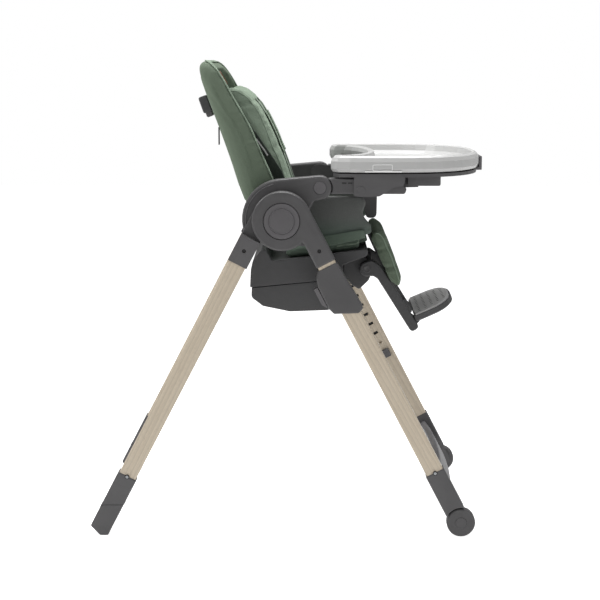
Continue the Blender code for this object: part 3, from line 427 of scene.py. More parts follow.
def grained_leather(name, code):
    """Split leather, dyed through and pressed with a pebble grain.

    Cells about 1.5 mm wide give small soft highlights with darker creases between them.
    """
    material, tree, where = start(name)
    cells = add(tree, "ShaderNodeTexVoronoi", {"Scale": 1 / 0.0016}, {"Vector": where})
    tone = add(tree, "ShaderNodeValToRGB",
               {"stops": [(0.0, tint(code, 1.15)), (0.9, tint(code, 0.65))]},
               {"Fac": cells.outputs["Distance"]}).outputs["Color"]
    bump = add(tree, "ShaderNodeBump", {"Strength": 0.5, "Distance": 0.0005, "invert": True},
               {"Height": cells.outputs["Distance"]})
    shader = add(tree, "ShaderNodeBsdfPrincipled", {"IOR": 1.48, "Roughness": 0.52},
                 {"Normal": bump.outputs["Normal"]})
    close(tree, shader, tone)
    return material


def zinc_steel(name):
    """Mild steel screws, zinc plated and tumbled.

    A grey metal with a soft broken reflection and faint scratches.
    """
    material, tree, where = start(name)
    marks = add(tree, "ShaderNodeTexNoise", {"Scale": 1 / 0.0012, "Detail": 3.0,
                                             "Distortion": 1.0}, {"Vector": where})
    gloss = add(tree, "ShaderNodeMapRange", {"To Min": 0.25, "To Max": 0.5},
                {"Value": marks.outputs["Fac"]})
    tone = add(tree, "ShaderNodeValToRGB",
               {"stops": [(0.3, linear("#8d8f92")), (0.7, linear("#b4b6b8"))]},
               {"Fac": marks.outputs["Fac"]}).outputs["Color"]
    shader = add(tree, "ShaderNodeBsdfPrincipled", {"Metallic": 1.0},
                 {"Roughness": gloss.outputs["Result"]})
    close(tree, shader, tone)
    return material


FINISHES = {}


def make_finishes(colours):
    """One material for each finish on the chair."""
    FINISHES.update({
        "charcoal": moulded("Charcoal ABS, spark-textured", colours.charcoal, 0.44, 0.0009, 0.16),
        "graphite": moulded("Graphite polypropylene, coarse-textured", colours.graphite,
                            0.52, 0.0013, 0.25, 0.08),
        "grey": moulded("Grey ABS, fine-textured", colours.grey, 0.36, 0.0007, 0.10, 0.06),
        "button": moulded("Button ABS, fine-textured", "#575557", 0.40, 0.0008, 0.12, 0.06),
        "bar": moulded("Crossbar polypropylene, satin", colours.bar, 0.46, 0.0010, 0.14, 0.06),
        "wheel": moulded("Wheel nylon, moulded", colours.wheel, 0.50, 0.0011, 0.20),
        # near-black unlit ABS: painted shade in slots, notches, holes and screw wells; also the
        # dark zip coil and pull and the boots' seams
        "slot": moulded("Unlit ABS inside slots", "#1c1c1c", 0.70, 0.0009, 0.10),
        "ash_front": lacquered_ash("Lacquered ash, front legs", colours.ash, colours.ash_dark,
                                   -LEG_ANGLE),
        "ash_rear": lacquered_ash("Lacquered ash, rear legs", colours.ash, colours.ash_dark,
                                  LEG_ANGLE),
        "tray": satin_polypropylene("Tray polypropylene, polished tool", colours.tray),
        "tray_edge": satin_polypropylene("Tray polypropylene, clear edge", "#f0f0ef"),
        "rubber": ribbed_rubber("Footplate rubber, ribbed", "#cfcece"),
        "webbing": strap_webbing("Polyester webbing, ribbed", colours.webbing),
        "leather": grained_leather("Split leather, pebbled", colours.leather),
        "screw": zinc_steel("Zinc-plated steel"),
    })
    thread = bpy.context.scene.high_chair_sizes.thread
    FINISHES.update({
        "sage": woven("Sage polyester canvas, woven", colours.sage, thread, 0.16, 0.30, 0.12),
        "inlay": woven("Light sage canvas, brushed", colours.sage_light, thread * 1.1, 0.13,
                       0.45, 0.30),
        "binding": woven("Light sage tape, woven", colours.sage_light, thread * 0.8, 0.10, 0.35),
        # the sage canvas made darker for the seat pad, its side bands and the cover's fold: painted
        # shade
        "sage_shaded": woven("Sage polyester canvas, painted shade", "#58665a", thread, 0.16, 0.20, 0.12),
        # near-black green for the inlay's sides: painted shade in the gap between each wing and the
        # inlay
        "painted_shade_sheet": woven("Dark green painted shade by the inlay", "#2b342c", thread * 0.8, 0.12, 0.10),
        # charcoal for the zip tape; on the seat sides painted shade above their green cloth
        "shade": woven("Charcoal canvas and painted seat shade, woven", colours.shade, thread, 0.18, 0.20, 0.10,
                       ("#55635a", HUB_Z - 0.042, HUB_Z + 0.004)),
        "thread": woven("Sage sewing thread, twisted", colours.sage, 0.0008, 0.10, 0.30),
    })


# Mesh tools

def keep(mesh, name, finish, body, sharp=None):
    """Turns a mesh into a piece with a finish, riding on a body, or on none if it bends."""
    tidy = bmesh.new()
    tidy.from_mesh(mesh)
    bmesh.ops.recalc_face_normals(tidy, faces=tidy.faces)
    tidy.to_mesh(mesh)
    tidy.free()
    mesh.shade_smooth()
    if sharp is not None:
        mesh.set_sharp_from_angle(angle=math.radians(sharp))
    mesh.materials.clear()
    mesh.materials.append(FINISHES[finish])
    piece = bpy.data.objects.new(name, mesh)
    bpy.context.scene.collection.objects.link(piece)
    if body:
        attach(piece, body)
    return piece


def outer_face(node):
    """How far a node reaches from the middle plane of the chair."""
    low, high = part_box(node)
    return max(abs(low[1]), abs(high[1]))


def mesh_of(name, points, faces):
    """A mesh from its points and faces."""
    mesh = bpy.data.meshes.new(name)
    mesh.from_pydata([tuple(p) for p in points], [], faces)
    return mesh


def smooth_path(points, step=0.006):
    """The same line through its points, with a point every step."""
    points = [Vector(p) for p in points]
    fine = []
    for i in range(len(points) - 1):
        before = points[max(i - 1, 0)]
        after = points[min(i + 2, len(points) - 1)]
        here, there = points[i], points[i + 1]
        count = max(1, round((there - here).length / step))
        for k in range(count):
            t = k / count
            fine.append(0.5 * (2 * here + (there - before) * t
                               + (2 * before - 5 * here + 4 * there - after) * t ** 2
                               + (3 * here - before - 3 * there + after) * t ** 3))
    return fine + [points[-1]]


def tree_of(piece):
    """Search tree of a piece's surface as it stands, with its modifiers."""
    graph = bpy.context.evaluated_depsgraph_get()
    return BVHTree.FromObject(piece, graph)


def settle(points, tree, lift):
    """Lays points on a surface, lifted off it, and returns them with the surface's normals."""
    placed, normals = [], []
    for point in points:
        spot, normal, _, _ = tree.find_nearest(Vector(point))
        placed.append(spot + normal * lift)
        normals.append(normal)
    for _ in range(2):
        normals = [normals[0]] + [(normals[i - 1] + 2 * normals[i] + normals[i + 1]).normalized()
                                  for i in range(1, len(normals) - 1)] + [normals[-1]]
        placed = [placed[0]] + [(placed[i - 1] + 2 * placed[i] + placed[i + 1]) / 4
                                for i in range(1, len(placed) - 1)] + [placed[-1]]
    return placed, normals


def swept(name, points, normals, section, closed=False):
    """Mesh of a cross-section carried along a line: (sideways, out) at each point."""
    rings, count = [], len(points)
    for i, point in enumerate(points):
        ahead = points[(i + 1) % count] if closed else points[min(i + 1, count - 1)]
        behind = points[i - 1] if closed or i else points[0]
        run = (ahead - behind).normalized()
        out = (normals[i] - run * normals[i].dot(run)).normalized()
        aside = run.cross(out)
        rings.append([point + aside * a + out * b for a, b in section])
    size = len(section)
    faces = []
    for i in range(count if closed else count - 1):
        for k in range(size):
            a, b = i * size, ((i + 1) % count) * size
            n = (k + 1) % size
            faces.append((a + k, a + n, b + n, b + k))
    if not closed:
        faces.append(tuple(range(size)))
        faces.append(tuple((count - 1) * size + k for k in reversed(range(size))))
    return mesh_of(name, [p for ring in rings for p in ring], faces)


def round_section(radius, steps=8, sink=0.0):
    """Round cross-section, sunk into what it lies on."""
    return [(radius * math.cos(math.tau * k / steps),
             radius * math.sin(math.tau * k / steps) - sink)
            for k in range(steps)]


def flat_section(width, thick, crown=0.0):
    """Strap cross-section with rolled edges and a crown."""
    half, edge = width / 2, thick / 2
    return [(-half, edge), (-half + edge, thick), (-half * 0.4, thick + crown),
            (half * 0.4, thick + crown), (half - edge, thick), (half, edge),
            (half - edge, 0.0), (-half + edge, 0.0)]


def corded(name, line, tree, body, radius, lip=0.0005):
    """A corded seam in the light tape along a line, lying on the cover under it."""
    seam, out = settle(smooth_path(line), tree, 0.0)
    return keep(swept(name, seam, out, round_section(radius, 8, lip)), name, "binding", body)


def stitched(name, points, normals, finish, body, aside=0.0, radius=0.0005):
    """A row of lockstitches along a line, as one piece."""
    length = bpy.context.scene.high_chair_sizes.stitch
    corners, faces = [], []
    travelled, start_at = 0.0, 0
    for i in range(1, len(points)):
        travelled += (points[i] - points[i - 1]).length
        if travelled < length:
            continue
        a, b = points[start_at], points[i]
        run = (b - a).normalized()
        out = normals[i]
        side = run.cross(out).normalized()
        a, b = a + (b - a) * 0.12 + side * aside, b - (b - a) * 0.12 + side * aside
        base = len(corners)
        for place, size in ((a, 0.3), (a + (b - a) * 0.25, 1.0),
                            (b - (b - a) * 0.25, 1.0), (b, 0.3)):
            for k in range(5):
                turn = math.tau * k / 5
                aim = side * math.cos(turn) + out * math.sin(turn)
                corners.append(place + aim * radius * size)
        for ring in range(3):
            for k in range(5):
                n = (k + 1) % 5
                low, high = base + ring * 5, base + ring * 5 + 5
                faces.append((low + k, low + n, high + n, high + k))
        faces.append(tuple(base + k for k in range(5)))
        faces.append(tuple(base + 15 + k for k in reversed(range(5))))
        travelled, start_at = 0.0, i
    return keep(mesh_of(name, corners, faces), name, finish, body)


def cloth_copy(node, name, shrink, voxel):
    """Free mesh of a CAD node, drawn in a little and cut into an even grid for cloth."""
    mesh = NODES[node].data.copy()
    mesh.name = name
    work = bpy.data.objects.new(name + "_work", mesh)
    bpy.context.scene.collection.objects.link(work)
    remesh = work.modifiers.new("Grid", "REMESH")
    remesh.mode = "VOXEL"
    remesh.voxel_size = voxel
    graph = bpy.context.evaluated_depsgraph_get()
    grid = bpy.data.meshes.new_from_object(work.evaluated_get(graph))
    bpy.data.objects.remove(work)
    points = [v.co - v.normal * shrink for v in grid.vertices]
    for vertex, point in zip(grid.vertices, points):
        vertex.co = point
    relax(grid, 3)
    return grid


def relax(mesh, rounds, share=0.5):
    """Evens the surface out by moving each point towards its neighbours."""
    work = bmesh.new()
    work.from_mesh(mesh)
    for _ in range(rounds):
        bmesh.ops.smooth_vert(work, verts=work.verts, factor=share,
                              use_axis_x=True, use_axis_y=True, use_axis_z=True)
    work.to_mesh(mesh)
    work.free()


def inflate(mesh, pressure, cap):
    """Fills the cloth with soft wadding: a short pressure simulation, with its result kept."""
    scene = bpy.context.scene
    work = bpy.data.objects.new(mesh.name + "_cloth", mesh)
    scene.collection.objects.link(work)
    cloth = work.modifiers.new("Cloth", "CLOTH")
    cloth.settings.quality = 5
    cloth.settings.mass = 0.25
    cloth.settings.tension_stiffness = 12
    cloth.settings.compression_stiffness = 12
    cloth.settings.bending_stiffness = 0.6
    cloth.settings.use_pressure = True
    cloth.settings.uniform_pressure_force = pressure
    cloth.settings.effector_weights.gravity = 0
    cloth.point_cache.frame_start = 1
    cloth.point_cache.frame_end = 20
    scene.frame_start, scene.frame_end = 1, 20
    for step in range(1, 21):
        scene.frame_set(step)
    graph = bpy.context.evaluated_depsgraph_get()
    blown = work.evaluated_get(graph).to_mesh()
    places = [v.co.copy() for v in blown.vertices]
    work.evaluated_get(graph).to_mesh_clear()
    bpy.data.objects.remove(work)
    scene.frame_set(1)
    for vertex, place in zip(mesh.vertices, places):
        move = place - vertex.co
        if move.length > cap:
            move *= cap / move.length
        vertex.co = vertex.co + move
    relax(mesh, 2)
    return mesh


def sew(mesh, measure, depth, width):
    """Draws the padding in along a seam: measure gives each point's distance from it."""
    mesh.update()
    for vertex, normal in zip(mesh.vertices, [v.normal.copy() for v in mesh.vertices]):
        away = measure(vertex.co)
        if abs(away) < width * 3:
            vertex.co = vertex.co - normal * depth * math.exp(-(away / width) ** 2)


def wrinkle(mesh, measure, depth, width, pitch):
    """Small gathers along a seam, where the thread pulls the cloth together."""
    mesh.update()
    for vertex, normal in zip(mesh.vertices, [v.normal.copy() for v in mesh.vertices]):
        away, along = measure(vertex.co)
        ripple = math.sin(math.tau * along / pitch + 1.7 * math.sin(along * 61.0))
        vertex.co = vertex.co + normal * depth * ripple * math.exp(-(away / width) ** 2)


def softened(piece):
    """One level of subdivision."""
    level = piece.modifiers.new("Smooth", "SUBSURF")
    level.levels = level.render_levels = 1
    return piece


def back_place(point):
    """How far up the lean of the back a point is, and how far in front of its line."""
    x, z = point.x - HUB_X, point.z - HUB_Z
    return (z * math.cos(BACK_LEAN) - x * math.sin(BACK_LEAN),
            x * math.cos(BACK_LEAN) + z * math.sin(BACK_LEAN))


def calf_place(point):
    """How far down the calf rest a point is."""
    x, z = point.x - HUB_X - 0.200, point.z - HUB_Z + 0.0275
    return x * math.sin(CALF_ANGLE) - z * math.cos(CALF_ANGLE)


# Sewn pieces

def rim_line(aside):
    """Front edge of the back cover, up one wing, over the top and down the other."""
    sections = ((0.045, 0.990, 0.0080), (0.100, 1.000, 0.0075), (0.150, 0.995, 0.0035),
                (0.210, 0.975, 0.0000), (0.255, 0.955, -0.0080), (0.290, 0.930, -0.0155),
                (0.323, 0.905, -0.0205), (0.350, 0.880, -0.0265), (0.368, 0.835, -0.0340),
                (0.3775, 0.740, -0.0420))
    wing = []
    for up, share, front in sections:
        x, z = on_back(up, front + 0.002)
        wing.append((x, 0.199 * share - aside, z))
    x, z = on_back(0.381, -0.044)
    top = [(x, y, z) for y in (0.10, 0.05, 0.0, -0.05, -0.10)]
    return wing + top + [(x, -y, z) for x, y, z in reversed(wing)]


class HIGHCHAIR_OT_back_cover(bpy.types.Operator):
    """Make the back's fitted cover with its binding, piping, seam and tag"""
    bl_idname = "high_chair.back_cover"
    bl_label = "Back cover"

    def execute(self, context):
        sizes = context.scene.high_chair_sizes
        mesh = cloth_copy("back_shell", "back_cover", 0.0006, 0.0056)
        # the cover is drawn in along a seam 26 mm behind the front edge of each wing
        def from_seam(point):
            up, forward = back_place(point)
            if abs(point.y) < 0.12 or up > 0.33:
                return 1.0
            return forward + 0.032 + 0.30 * max(0.0, up - 0.21)
        sew(mesh, from_seam, 0.0016, 0.0035)
        def gathers(point):
            up, forward = back_place(point)
            return forward + 0.010, up
        wrinkle(mesh, gathers, 0.0005, 0.016, 0.017)
        cover = softened(keep(mesh, "back_cover", "sage", "backrest"))
        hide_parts("back_shell")

        tree = tree_of(cover)
        guide, normals = settle(smooth_path(rim_line(0.011)), tree, -0.0006)
        binding = keep(swept("back_binding", guide, normals, flat_section(0.017, 0.0020, 0.0006)),
                       "back_binding", "binding", "backrest")
        for row, aside in enumerate((-0.0066, 0.0066)):
            raised = [p + n * 0.0021 for p, n in zip(guide, normals)]
            stitched(f"binding_stitches_{row + 1}", raised, normals, "thread", "backrest", aside)
        for side, tag in SIDES:
            line = []
            for k in range(24):
                up = 0.045 + 0.285 * k / 23
                forward = -0.032 - 0.30 * max(0.0, up - 0.21)
                x, z = on_back(up, forward)
                line.append((x, side * 0.21, z))
            seam, out = settle(smooth_path(line, 0.004), tree, 0.0)
            stitched(f"wing_stitches_{tag}", [p + n * 0.0004 for p, n in zip(seam, out)], out,
                     "thread", "backrest", 0.0035)
            keep(swept(f"wing_seam_{tag}", seam, out, round_section(sizes.seam * 0.55, 6, 0.0004)),
                 f"wing_seam_{tag}", "sage", "backrest")
        # corded seam round the rear panel
        ring = []
        for up, half, rear in ((0.060, 0.150, -0.08), (0.150, 0.150, -0.08), (0.250, 0.143, -0.08),
                               (0.315, 0.132, -0.08), (0.345, 0.112, -0.08), (0.354, 0.060, -0.08)):
            x, z = on_back(up, rear)
            ring.append((x, half, z))
        loop = ring + [(x, -y, z) for x, y, z in reversed(ring)]
        corded("rear_piping", loop, tree, "backrest", sizes.seam)
        # zip up the middle of the rear panel
        line = [on_back(up, -0.09) for up in (0.085, 0.130, 0.180, 0.226)]
        tape, out = settle(smooth_path([(x, 0.0, z) for x, z in line], 0.004), tree, 0.0)
        keep(swept("zip_tape", tape, out, flat_section(0.020, 0.0008)), "zip_tape", "shade",
             "backrest")
        coil = [p + n * 0.0013 for p, n in zip(tape, out)]
        keep(swept("zip_coil", coil, out, round_section(0.0016, 8)), "zip_coil", "slot",
             "backrest")
        # plain leather tag lying flat at the binding of the right wing
        line = []
        for k in range(7):
            up = 0.316 + 0.032 * k / 6
            x, z = on_back(up, -0.020 - (up - 0.323) * 0.25)
            line.append((x, -0.199 * 0.90 + 0.020, z))
        patch, out = settle(line, tree, 0.0012)
        keep(swept("leather_tag", patch, out, flat_section(0.0110, 0.0024)), "leather_tag",
             "leather", "backrest")
        return {"FINISHED"}


class HIGHCHAIR_OT_inlay(bpy.types.Operator):
    """Make the padded inlay cushion with its sewn channels"""
    bl_idname = "high_chair.inlay"
    bl_label = "Inlay cushion"

    def execute(self, context):
        sizes = context.scene.high_chair_sizes
        mesh = inflate(cloth_copy("inlay_cushion", "inlay_pad", 0.0030, sizes.voxel), 3.0, 0.0050)
        for up, depth in ((0.150, 0.0012), (0.262, 0.0024)):
            sew(mesh, lambda p, up=up: back_place(p)[0] - up if back_place(p)[1] > -0.02 else 1.0,
                depth, 0.0050)
        for y in (-0.105, 0.105):
            sew(mesh, lambda p, y=y: p.y - y if back_place(p)[1] > -0.02 else 1.0, 0.0024, 0.0045)
        wrinkle(mesh, lambda p: (abs(p.y) - 0.138, back_place(p)[0]), 0.0007, 0.010, 0.019)
        pad = softened(keep(mesh, "inlay_pad", "inlay", "backrest"))
        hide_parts("inlay_cushion")
        tree = tree_of(pad)
        for side, tag in SIDES:
            line = [on_back(up, forward) for up, forward in
                    ((0.040, 0.041), (0.098, 0.043), (0.150, 0.042), (0.212, 0.037),
                     (0.260, 0.027), (0.292, 0.008), (0.307, -0.012), (0.311, -0.034))]
            corded(f"inlay_piping_{tag}", [(x, side * 0.156, z) for x, z in line], tree,
                   "backrest", sizes.seam)
            # dark sheet down the inlay's side: painted shade in the gap behind the wing, with the
            # strap's guide on it
            edge = ((0.062, -0.006, 0.034), (0.095, -0.006, 0.031), (0.125, -0.007, 0.024),
                    (0.155, -0.008, 0.016), (0.190, -0.010, 0.007), (0.215, -0.011, -0.002))
            outline = [on_back(up, front) for up, _, front in edge]
            outline += [on_back(up, rear) for up, rear, _ in reversed(edge)]
            rounds = 0.0010
            points = [(x, side * 0.1480, z) for x, z in outline]
            points += [(x, side * 0.1590, z) for x, z in outline]
            middle = [sum(v) / len(outline) for v in zip(*outline)]
            points += [(x + (middle[0] - x) * 0.05, side * (0.1590 + rounds),
                        z + (middle[1] - z) * 0.05) for x, z in outline]
            size = len(outline)
            faces = [tuple(range(size)), tuple(2 * size + k for k in range(size))]
            for r in (0, size):
                faces += [(r + k, r + (k + 1) % size, r + size + (k + 1) % size, r + size + k)
                          for k in range(size)]
            keep(mesh_of(f"inlay_gusset_{tag}", points, faces), f"inlay_gusset_{tag}", "painted_shade_sheet",
                 "backrest", sharp=30)
            # the strap's guide in pale plastic: partly a real guide, partly a painted highlight
            # standing for the bright glint there
            guide = smooth_path([(x, side * 0.1602, z) for x, z in
                                 (on_back(0.182, 0.001), on_back(0.168, 0.005),
                                  on_back(0.152, 0.010), on_back(0.138, 0.013))], 0.004)
            keep(swept(f"strap_guide_{tag}", guide, [Vector((0, side, 0))] * len(guide),
                       flat_section(0.0036, 0.0012)), f"strap_guide_{tag}", "tray", "backrest")
        return {"FINISHED"}


class HIGHCHAIR_OT_seat(bpy.types.Operator):
    """Make the padded seat cushion and the seat's covered sides"""
    bl_idname = "high_chair.seat"
    bl_label = "Seat padding"

    def execute(self, context):
        sizes = context.scene.high_chair_sizes
        mesh = inflate(cloth_copy("seat_cushion", "seat_pad", 0.0028, sizes.voxel), 3.5, 0.0060)
        wrinkle(mesh, lambda p: (abs(p.y) - 0.168, p.x), 0.0006, 0.012, 0.021)
        pad = softened(keep(mesh, "seat_pad", "sage_shaded", "seat_carriage"))
        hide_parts("seat_cushion")
        tree = tree_of(pad)
        front = at(0.190, -0.052)
        line = [(on_seat(f, -0.013)[0], y, on_seat(f, -0.013)[1]) for f, y in
                ((0.120, -0.20), (0.150, -0.20), (0.172, -0.195))]
        line += [(front[0], y, front[1]) for y in (-0.165, -0.10, 0.0, 0.10, 0.165)]
        line += [(x, -y, z) for x, y, z in reversed(line[:3])]
        corded("seat_piping", line, tree, "seat_carriage", sizes.seam, 0.0006)

        for side, tag in SIDES:
            mesh = cloth_copy(f"seat_side_{tag}", f"side_cover_{tag}", 0.0005, 0.0040)
            def from_band(point):
                return point.z - on_seat(point.x - HUB_X, 0.014)[1]
            sew(mesh, from_band, 0.0016, 0.0030)
            # the side cover is charcoal above and green below: painted shade over the side's green
            # cloth
            cover = softened(keep(mesh, f"side_cover_{tag}", "shade", "seat_carriage"))
            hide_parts(f"seat_side_{tag}")
            tree = tree_of(cover)
            # green lower band sewn over the side, with its stitched edge
            low, high = [], []
            for k in range(15):
                forward = 0.052 + 0.132 * k / 14
                low.append((forward, side * 0.21, on_seat(forward, -0.003)[1]))
            guide = [(at(f, 0)[0], y, z) for f, y, z in low]
            line, out = settle(guide, tree, 0.0)
            keep(swept(f"side_band_{tag}", line, out, flat_section(0.024, 0.0012, 0.0004)),
                 f"side_band_{tag}", "sage_shaded", "seat_carriage")
            stitched(f"side_stitches_{tag}", [p + n * 0.0013 for p, n in zip(line, out)], out,
                     "thread", "seat_carriage", 0.0095)
        return {"FINISHED"}


class HIGHCHAIR_OT_calf_rest(bpy.types.Operator):
    """Make the padded calf rest with its channels and piping"""
    bl_idname = "high_chair.calf_rest"
    bl_label = "Calf rest"

    def execute(self, context):
        sizes = context.scene.high_chair_sizes
        mesh = inflate(cloth_copy("calf_pad", "calf_cushion", 0.0024, sizes.voxel * 0.9), 3.5,
                       0.0060)
        for along in (0.055, 0.100):
            sew(mesh, lambda p, along=along: calf_place(p) - along, 0.0028, 0.0042)
        wrinkle(mesh, lambda p: (abs(p.y) - 0.150, p.z), 0.0005, 0.010, 0.016)
        pad = softened(keep(mesh, "calf_cushion", "sage", "calf_rest"))
        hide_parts("calf_pad")
        tree = tree_of(pad)
        # soft fold of the cover from under the cushion to the back of the calf rest
        guide = [at(*spot) for spot in ((0.160, -0.0640), (0.170, -0.0600), (0.178, -0.0590),
                                        (0.1850, -0.0570), (0.1900, -0.0540))]
        guide = smooth_path([(x, 0.0, z) for x, z in guide], 0.004)
        points, faces, across = [], [], 29
        half_wide, cloth, ruck_height = 0.152, 0.0022, 0.0009
        for thick in (0.0, cloth):
            for spot in guide:
                for k in range(across):
                    y = -half_wide + 2 * half_wide * k / (across - 1)
                    ruck = ruck_height * math.sin(k * 1.9)
                    points.append((spot.x, y, spot.z - thick + ruck))
        rows, layer = len(guide), len(guide) * across
        for r in range(rows - 1):
            for k in range(across - 1):
                a = r * across + k
                faces.append((a, a + 1, a + across + 1, a + across))
                faces.append((layer + a + across, layer + a + across + 1, layer + a + 1, layer + a))
        rim = [k for k in range(across)] + [r * across + across - 1 for r in range(1, rows)]
        rim += [(rows - 1) * across + k for k in reversed(range(across - 1))]
        rim += [r * across for r in reversed(range(1, rows - 1))]
        for i, a in enumerate(rim):
            b = rim[(i + 1) % len(rim)]
            faces.append((a, b, layer + b, layer + a))
        fold = keep(mesh_of("cover_fold", points, faces), "cover_fold", "sage_shaded",
                    None)
        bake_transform(fold)
        for side, tag in SIDES:
            line = [on_calf(along, forward) for along, forward in
                    ((0.006, 0.001), (0.016, 0.017), (0.060, 0.021), (0.110, 0.018),
                     (0.142, 0.010), (0.155, -0.001))]
            corded(f"calf_piping_{tag}", [(x, side * 0.164, z) for x, z in line], tree,
                   "calf_rest", sizes.seam)
        return {"FINISHED"}


class HIGHCHAIR_OT_harness(bpy.types.Operator):
    """Make the five-point harness: shoulder, waist and crotch straps with their pads"""
    bl_idname = "high_chair.harness"
    bl_label = "Harness"

    def execute(self, context):
        wide = context.scene.high_chair_sizes.strap
        inlay = tree_of(bpy.data.objects["inlay_pad"])
        seat = tree_of(bpy.data.objects["seat_pad"])
        front = ((0.045, 0.050), (0.098, 0.050), (0.150, 0.048), (0.190, 0.044),
                 (0.225, 0.040), (0.266, 0.030))
        for side, tag in SIDES:
            line = [(*on_back(up, forward), side * 0.052) for up, forward in front]
            points, out = settle(smooth_path([(x, y, z) for x, z, y in line]), inlay, 0.0006)
            strap = keep(swept(f"shoulder_webbing_{tag}", points, out,
                               flat_section(wide, 0.0016)),
                         f"shoulder_webbing_{tag}", "webbing", "backrest")
            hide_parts(f"shoulder_strap_{tag}")
            cut = len(points)
            pad, way = points[int(cut * 0.38):int(cut * 0.86)], out[int(cut * 0.38):int(cut * 0.86)]
            sleeve = swept(f"shoulder_pad_{tag}", [p + n * 0.0017 for p, n in zip(pad, way)], way,
                           flat_section(wide + 0.014, 0.0024, 0.0006))
            cushion = softened(keep(sleeve, f"shoulder_pad_{tag}", "inlay", "backrest"))
            for row, aside in enumerate((-0.0145, 0.0145)):
                stitched(f"pad_stitches_{tag}_{row + 1}",
                         [p + n * 0.0041 for p, n in zip(pad, way)], way, "thread", "backrest",
                         aside)
            # waist strap from under the side to the buckle
            line = [(0.062, 0.158), (0.068, 0.125), (0.078, 0.090), (0.092, 0.055), (0.104, 0.026)]
            guide = [(*on_seat(f, 0.006), side * y) for f, y in line]
            points, out = settle(smooth_path([(x, y, z) for x, z, y in guide]), seat, 0.0008)
            keep(swept(f"waist_webbing_{tag}", points, out, flat_section(wide * 0.8, 0.0016)),
                 f"waist_webbing_{tag}", "webbing", "seat_carriage")
        guide = [(*on_seat(f, 0.006), 0.0) for f in (0.1305, 0.140, 0.150, 0.158)]
        points, out = settle(smooth_path([(x, y, z) for x, z, y in guide], 0.004), seat, 0.0008)
        keep(swept("crotch_webbing", points, out, flat_section(wide, 0.0016)), "crotch_webbing",
             "webbing", "seat_carriage")
        return {"FINISHED"}


# Plastic and wooden parts, and their fittings

def finish_nodes(finish, *names):
    """Gives the frame's own parts their finish."""
    for name in names:
        slots = NODES[name].material_slots
        for slot in slots:
            slot.link = "OBJECT"
            slot.material = FINISHES[finish]


def turned(name, profile, place, outward, steps=24):
    """Mesh turned about an axis: (radius, height) from the middle outwards."""
    outward = Vector(outward).normalized()
    across = outward.orthogonal().normalized()
    other = outward.cross(across)
    points, faces = [], []
    for radius, height in profile:
        for k in range(steps):
            turn = math.tau * k / steps
            points.append(Vector(place) + outward * height
                          + (across * math.cos(turn) + other * math.sin(turn)) * radius)
    for ring in range(len(profile) - 1):
        for k in range(steps):
            n = (k + 1) % steps
            a, b = ring * steps, ring * steps + steps
            faces.append((a + k, a + n, b + n, b + k))
    faces.append(tuple(range(steps)))
    faces.append(tuple((len(profile) - 1) * steps + k for k in reversed(range(steps))))
    return mesh_of(name, points, faces)


def screw(name, place, outward, body):
    """Pan-head screw with a round drive recess, seated in a shallow well drawn in unlit black as
    painted shade.
    """
    profile = [(0.0012, 0.0004), (0.0015, 0.0013), (0.0026, 0.0014), (0.0034, 0.0009),
               (0.0036, 0.0), (0.0036, -0.0010)]
    keep(turned(name, profile, place, outward, 20), name, "screw", body, sharp=40)
    # unlit black ring round the screw: painted shade in its well
    ring = [(0.0038, -0.0008), (0.0038, 0.0006), (0.0044, 0.0009), (0.0050, 0.0004),
            (0.0052, -0.0008)]
    keep(turned(name + "_well_shade", ring, place, outward, 20), name + "_well_shade", "slot", body)


def raised(name, outline, face, side, proud, finish, body, soft=0.0006):
    """A small moulded plate on an outer face: its outline is (x, z), with a rolled edge."""
    centre = (sum(x for x, _ in outline) / len(outline), sum(z for _, z in outline) / len(outline))
    rings = []
    for share, height in ((1.0, -0.0004), (1.0, proud - soft), (None, proud)):
        ring = []
        for x, z in outline:
            if share is None:
                reach = math.hypot(x - centre[0], z - centre[1])
                share_here = max(0.0, 1 - soft / max(reach, 1e-6))
            else:
                share_here = share
            ring.append((centre[0] + (x - centre[0]) * share_here, side * (face + height),
                         centre[1] + (z - centre[1]) * share_here))
        rings.append(ring)
    size = len(outline)
    faces = [tuple(range(size)), tuple(2 * size + k for k in reversed(range(size)))]
    for r in range(2):
        for k in range(size):
            n = (k + 1) % size
            faces.append((r * size + k, r * size + n, r * size + size + n, r * size + size + k))
    return keep(mesh_of(name, [p for ring in rings for p in ring], faces), name, finish, body,
                sharp=35)


def pill(centre, along, half_long, half_wide, steps=6):
    """Outline with round ends, lying along a direction in the side view."""
    dx, dz = along
    points = []
    for end in (1, -1):
        for k in range(steps + 1):
            turn = math.pi / 2 - math.pi * k / steps
            run = end * (half_long - half_wide + half_wide * math.cos(turn))
            wide = end * half_wide * math.sin(turn)
            points.append((centre[0] + dx * run - dz * wide, centre[1] + dz * run + dx * wide))
    return points


def oblong(x0, z0, x1, z1, radius=0.002, steps=3):
    """Upright rectangle with round corners."""
    points = []
    for cx, cz, first in ((x1 - radius, z1 - radius, 0), (x0 + radius, z1 - radius, 90),
                          (x0 + radius, z0 + radius, 180), (x1 - radius, z0 + radius, 270)):
        for k in range(steps + 1):
            turn = math.radians(first + 90 * k / steps)
            points.append((cx + radius * math.cos(turn), cz + radius * math.sin(turn)))
    return points


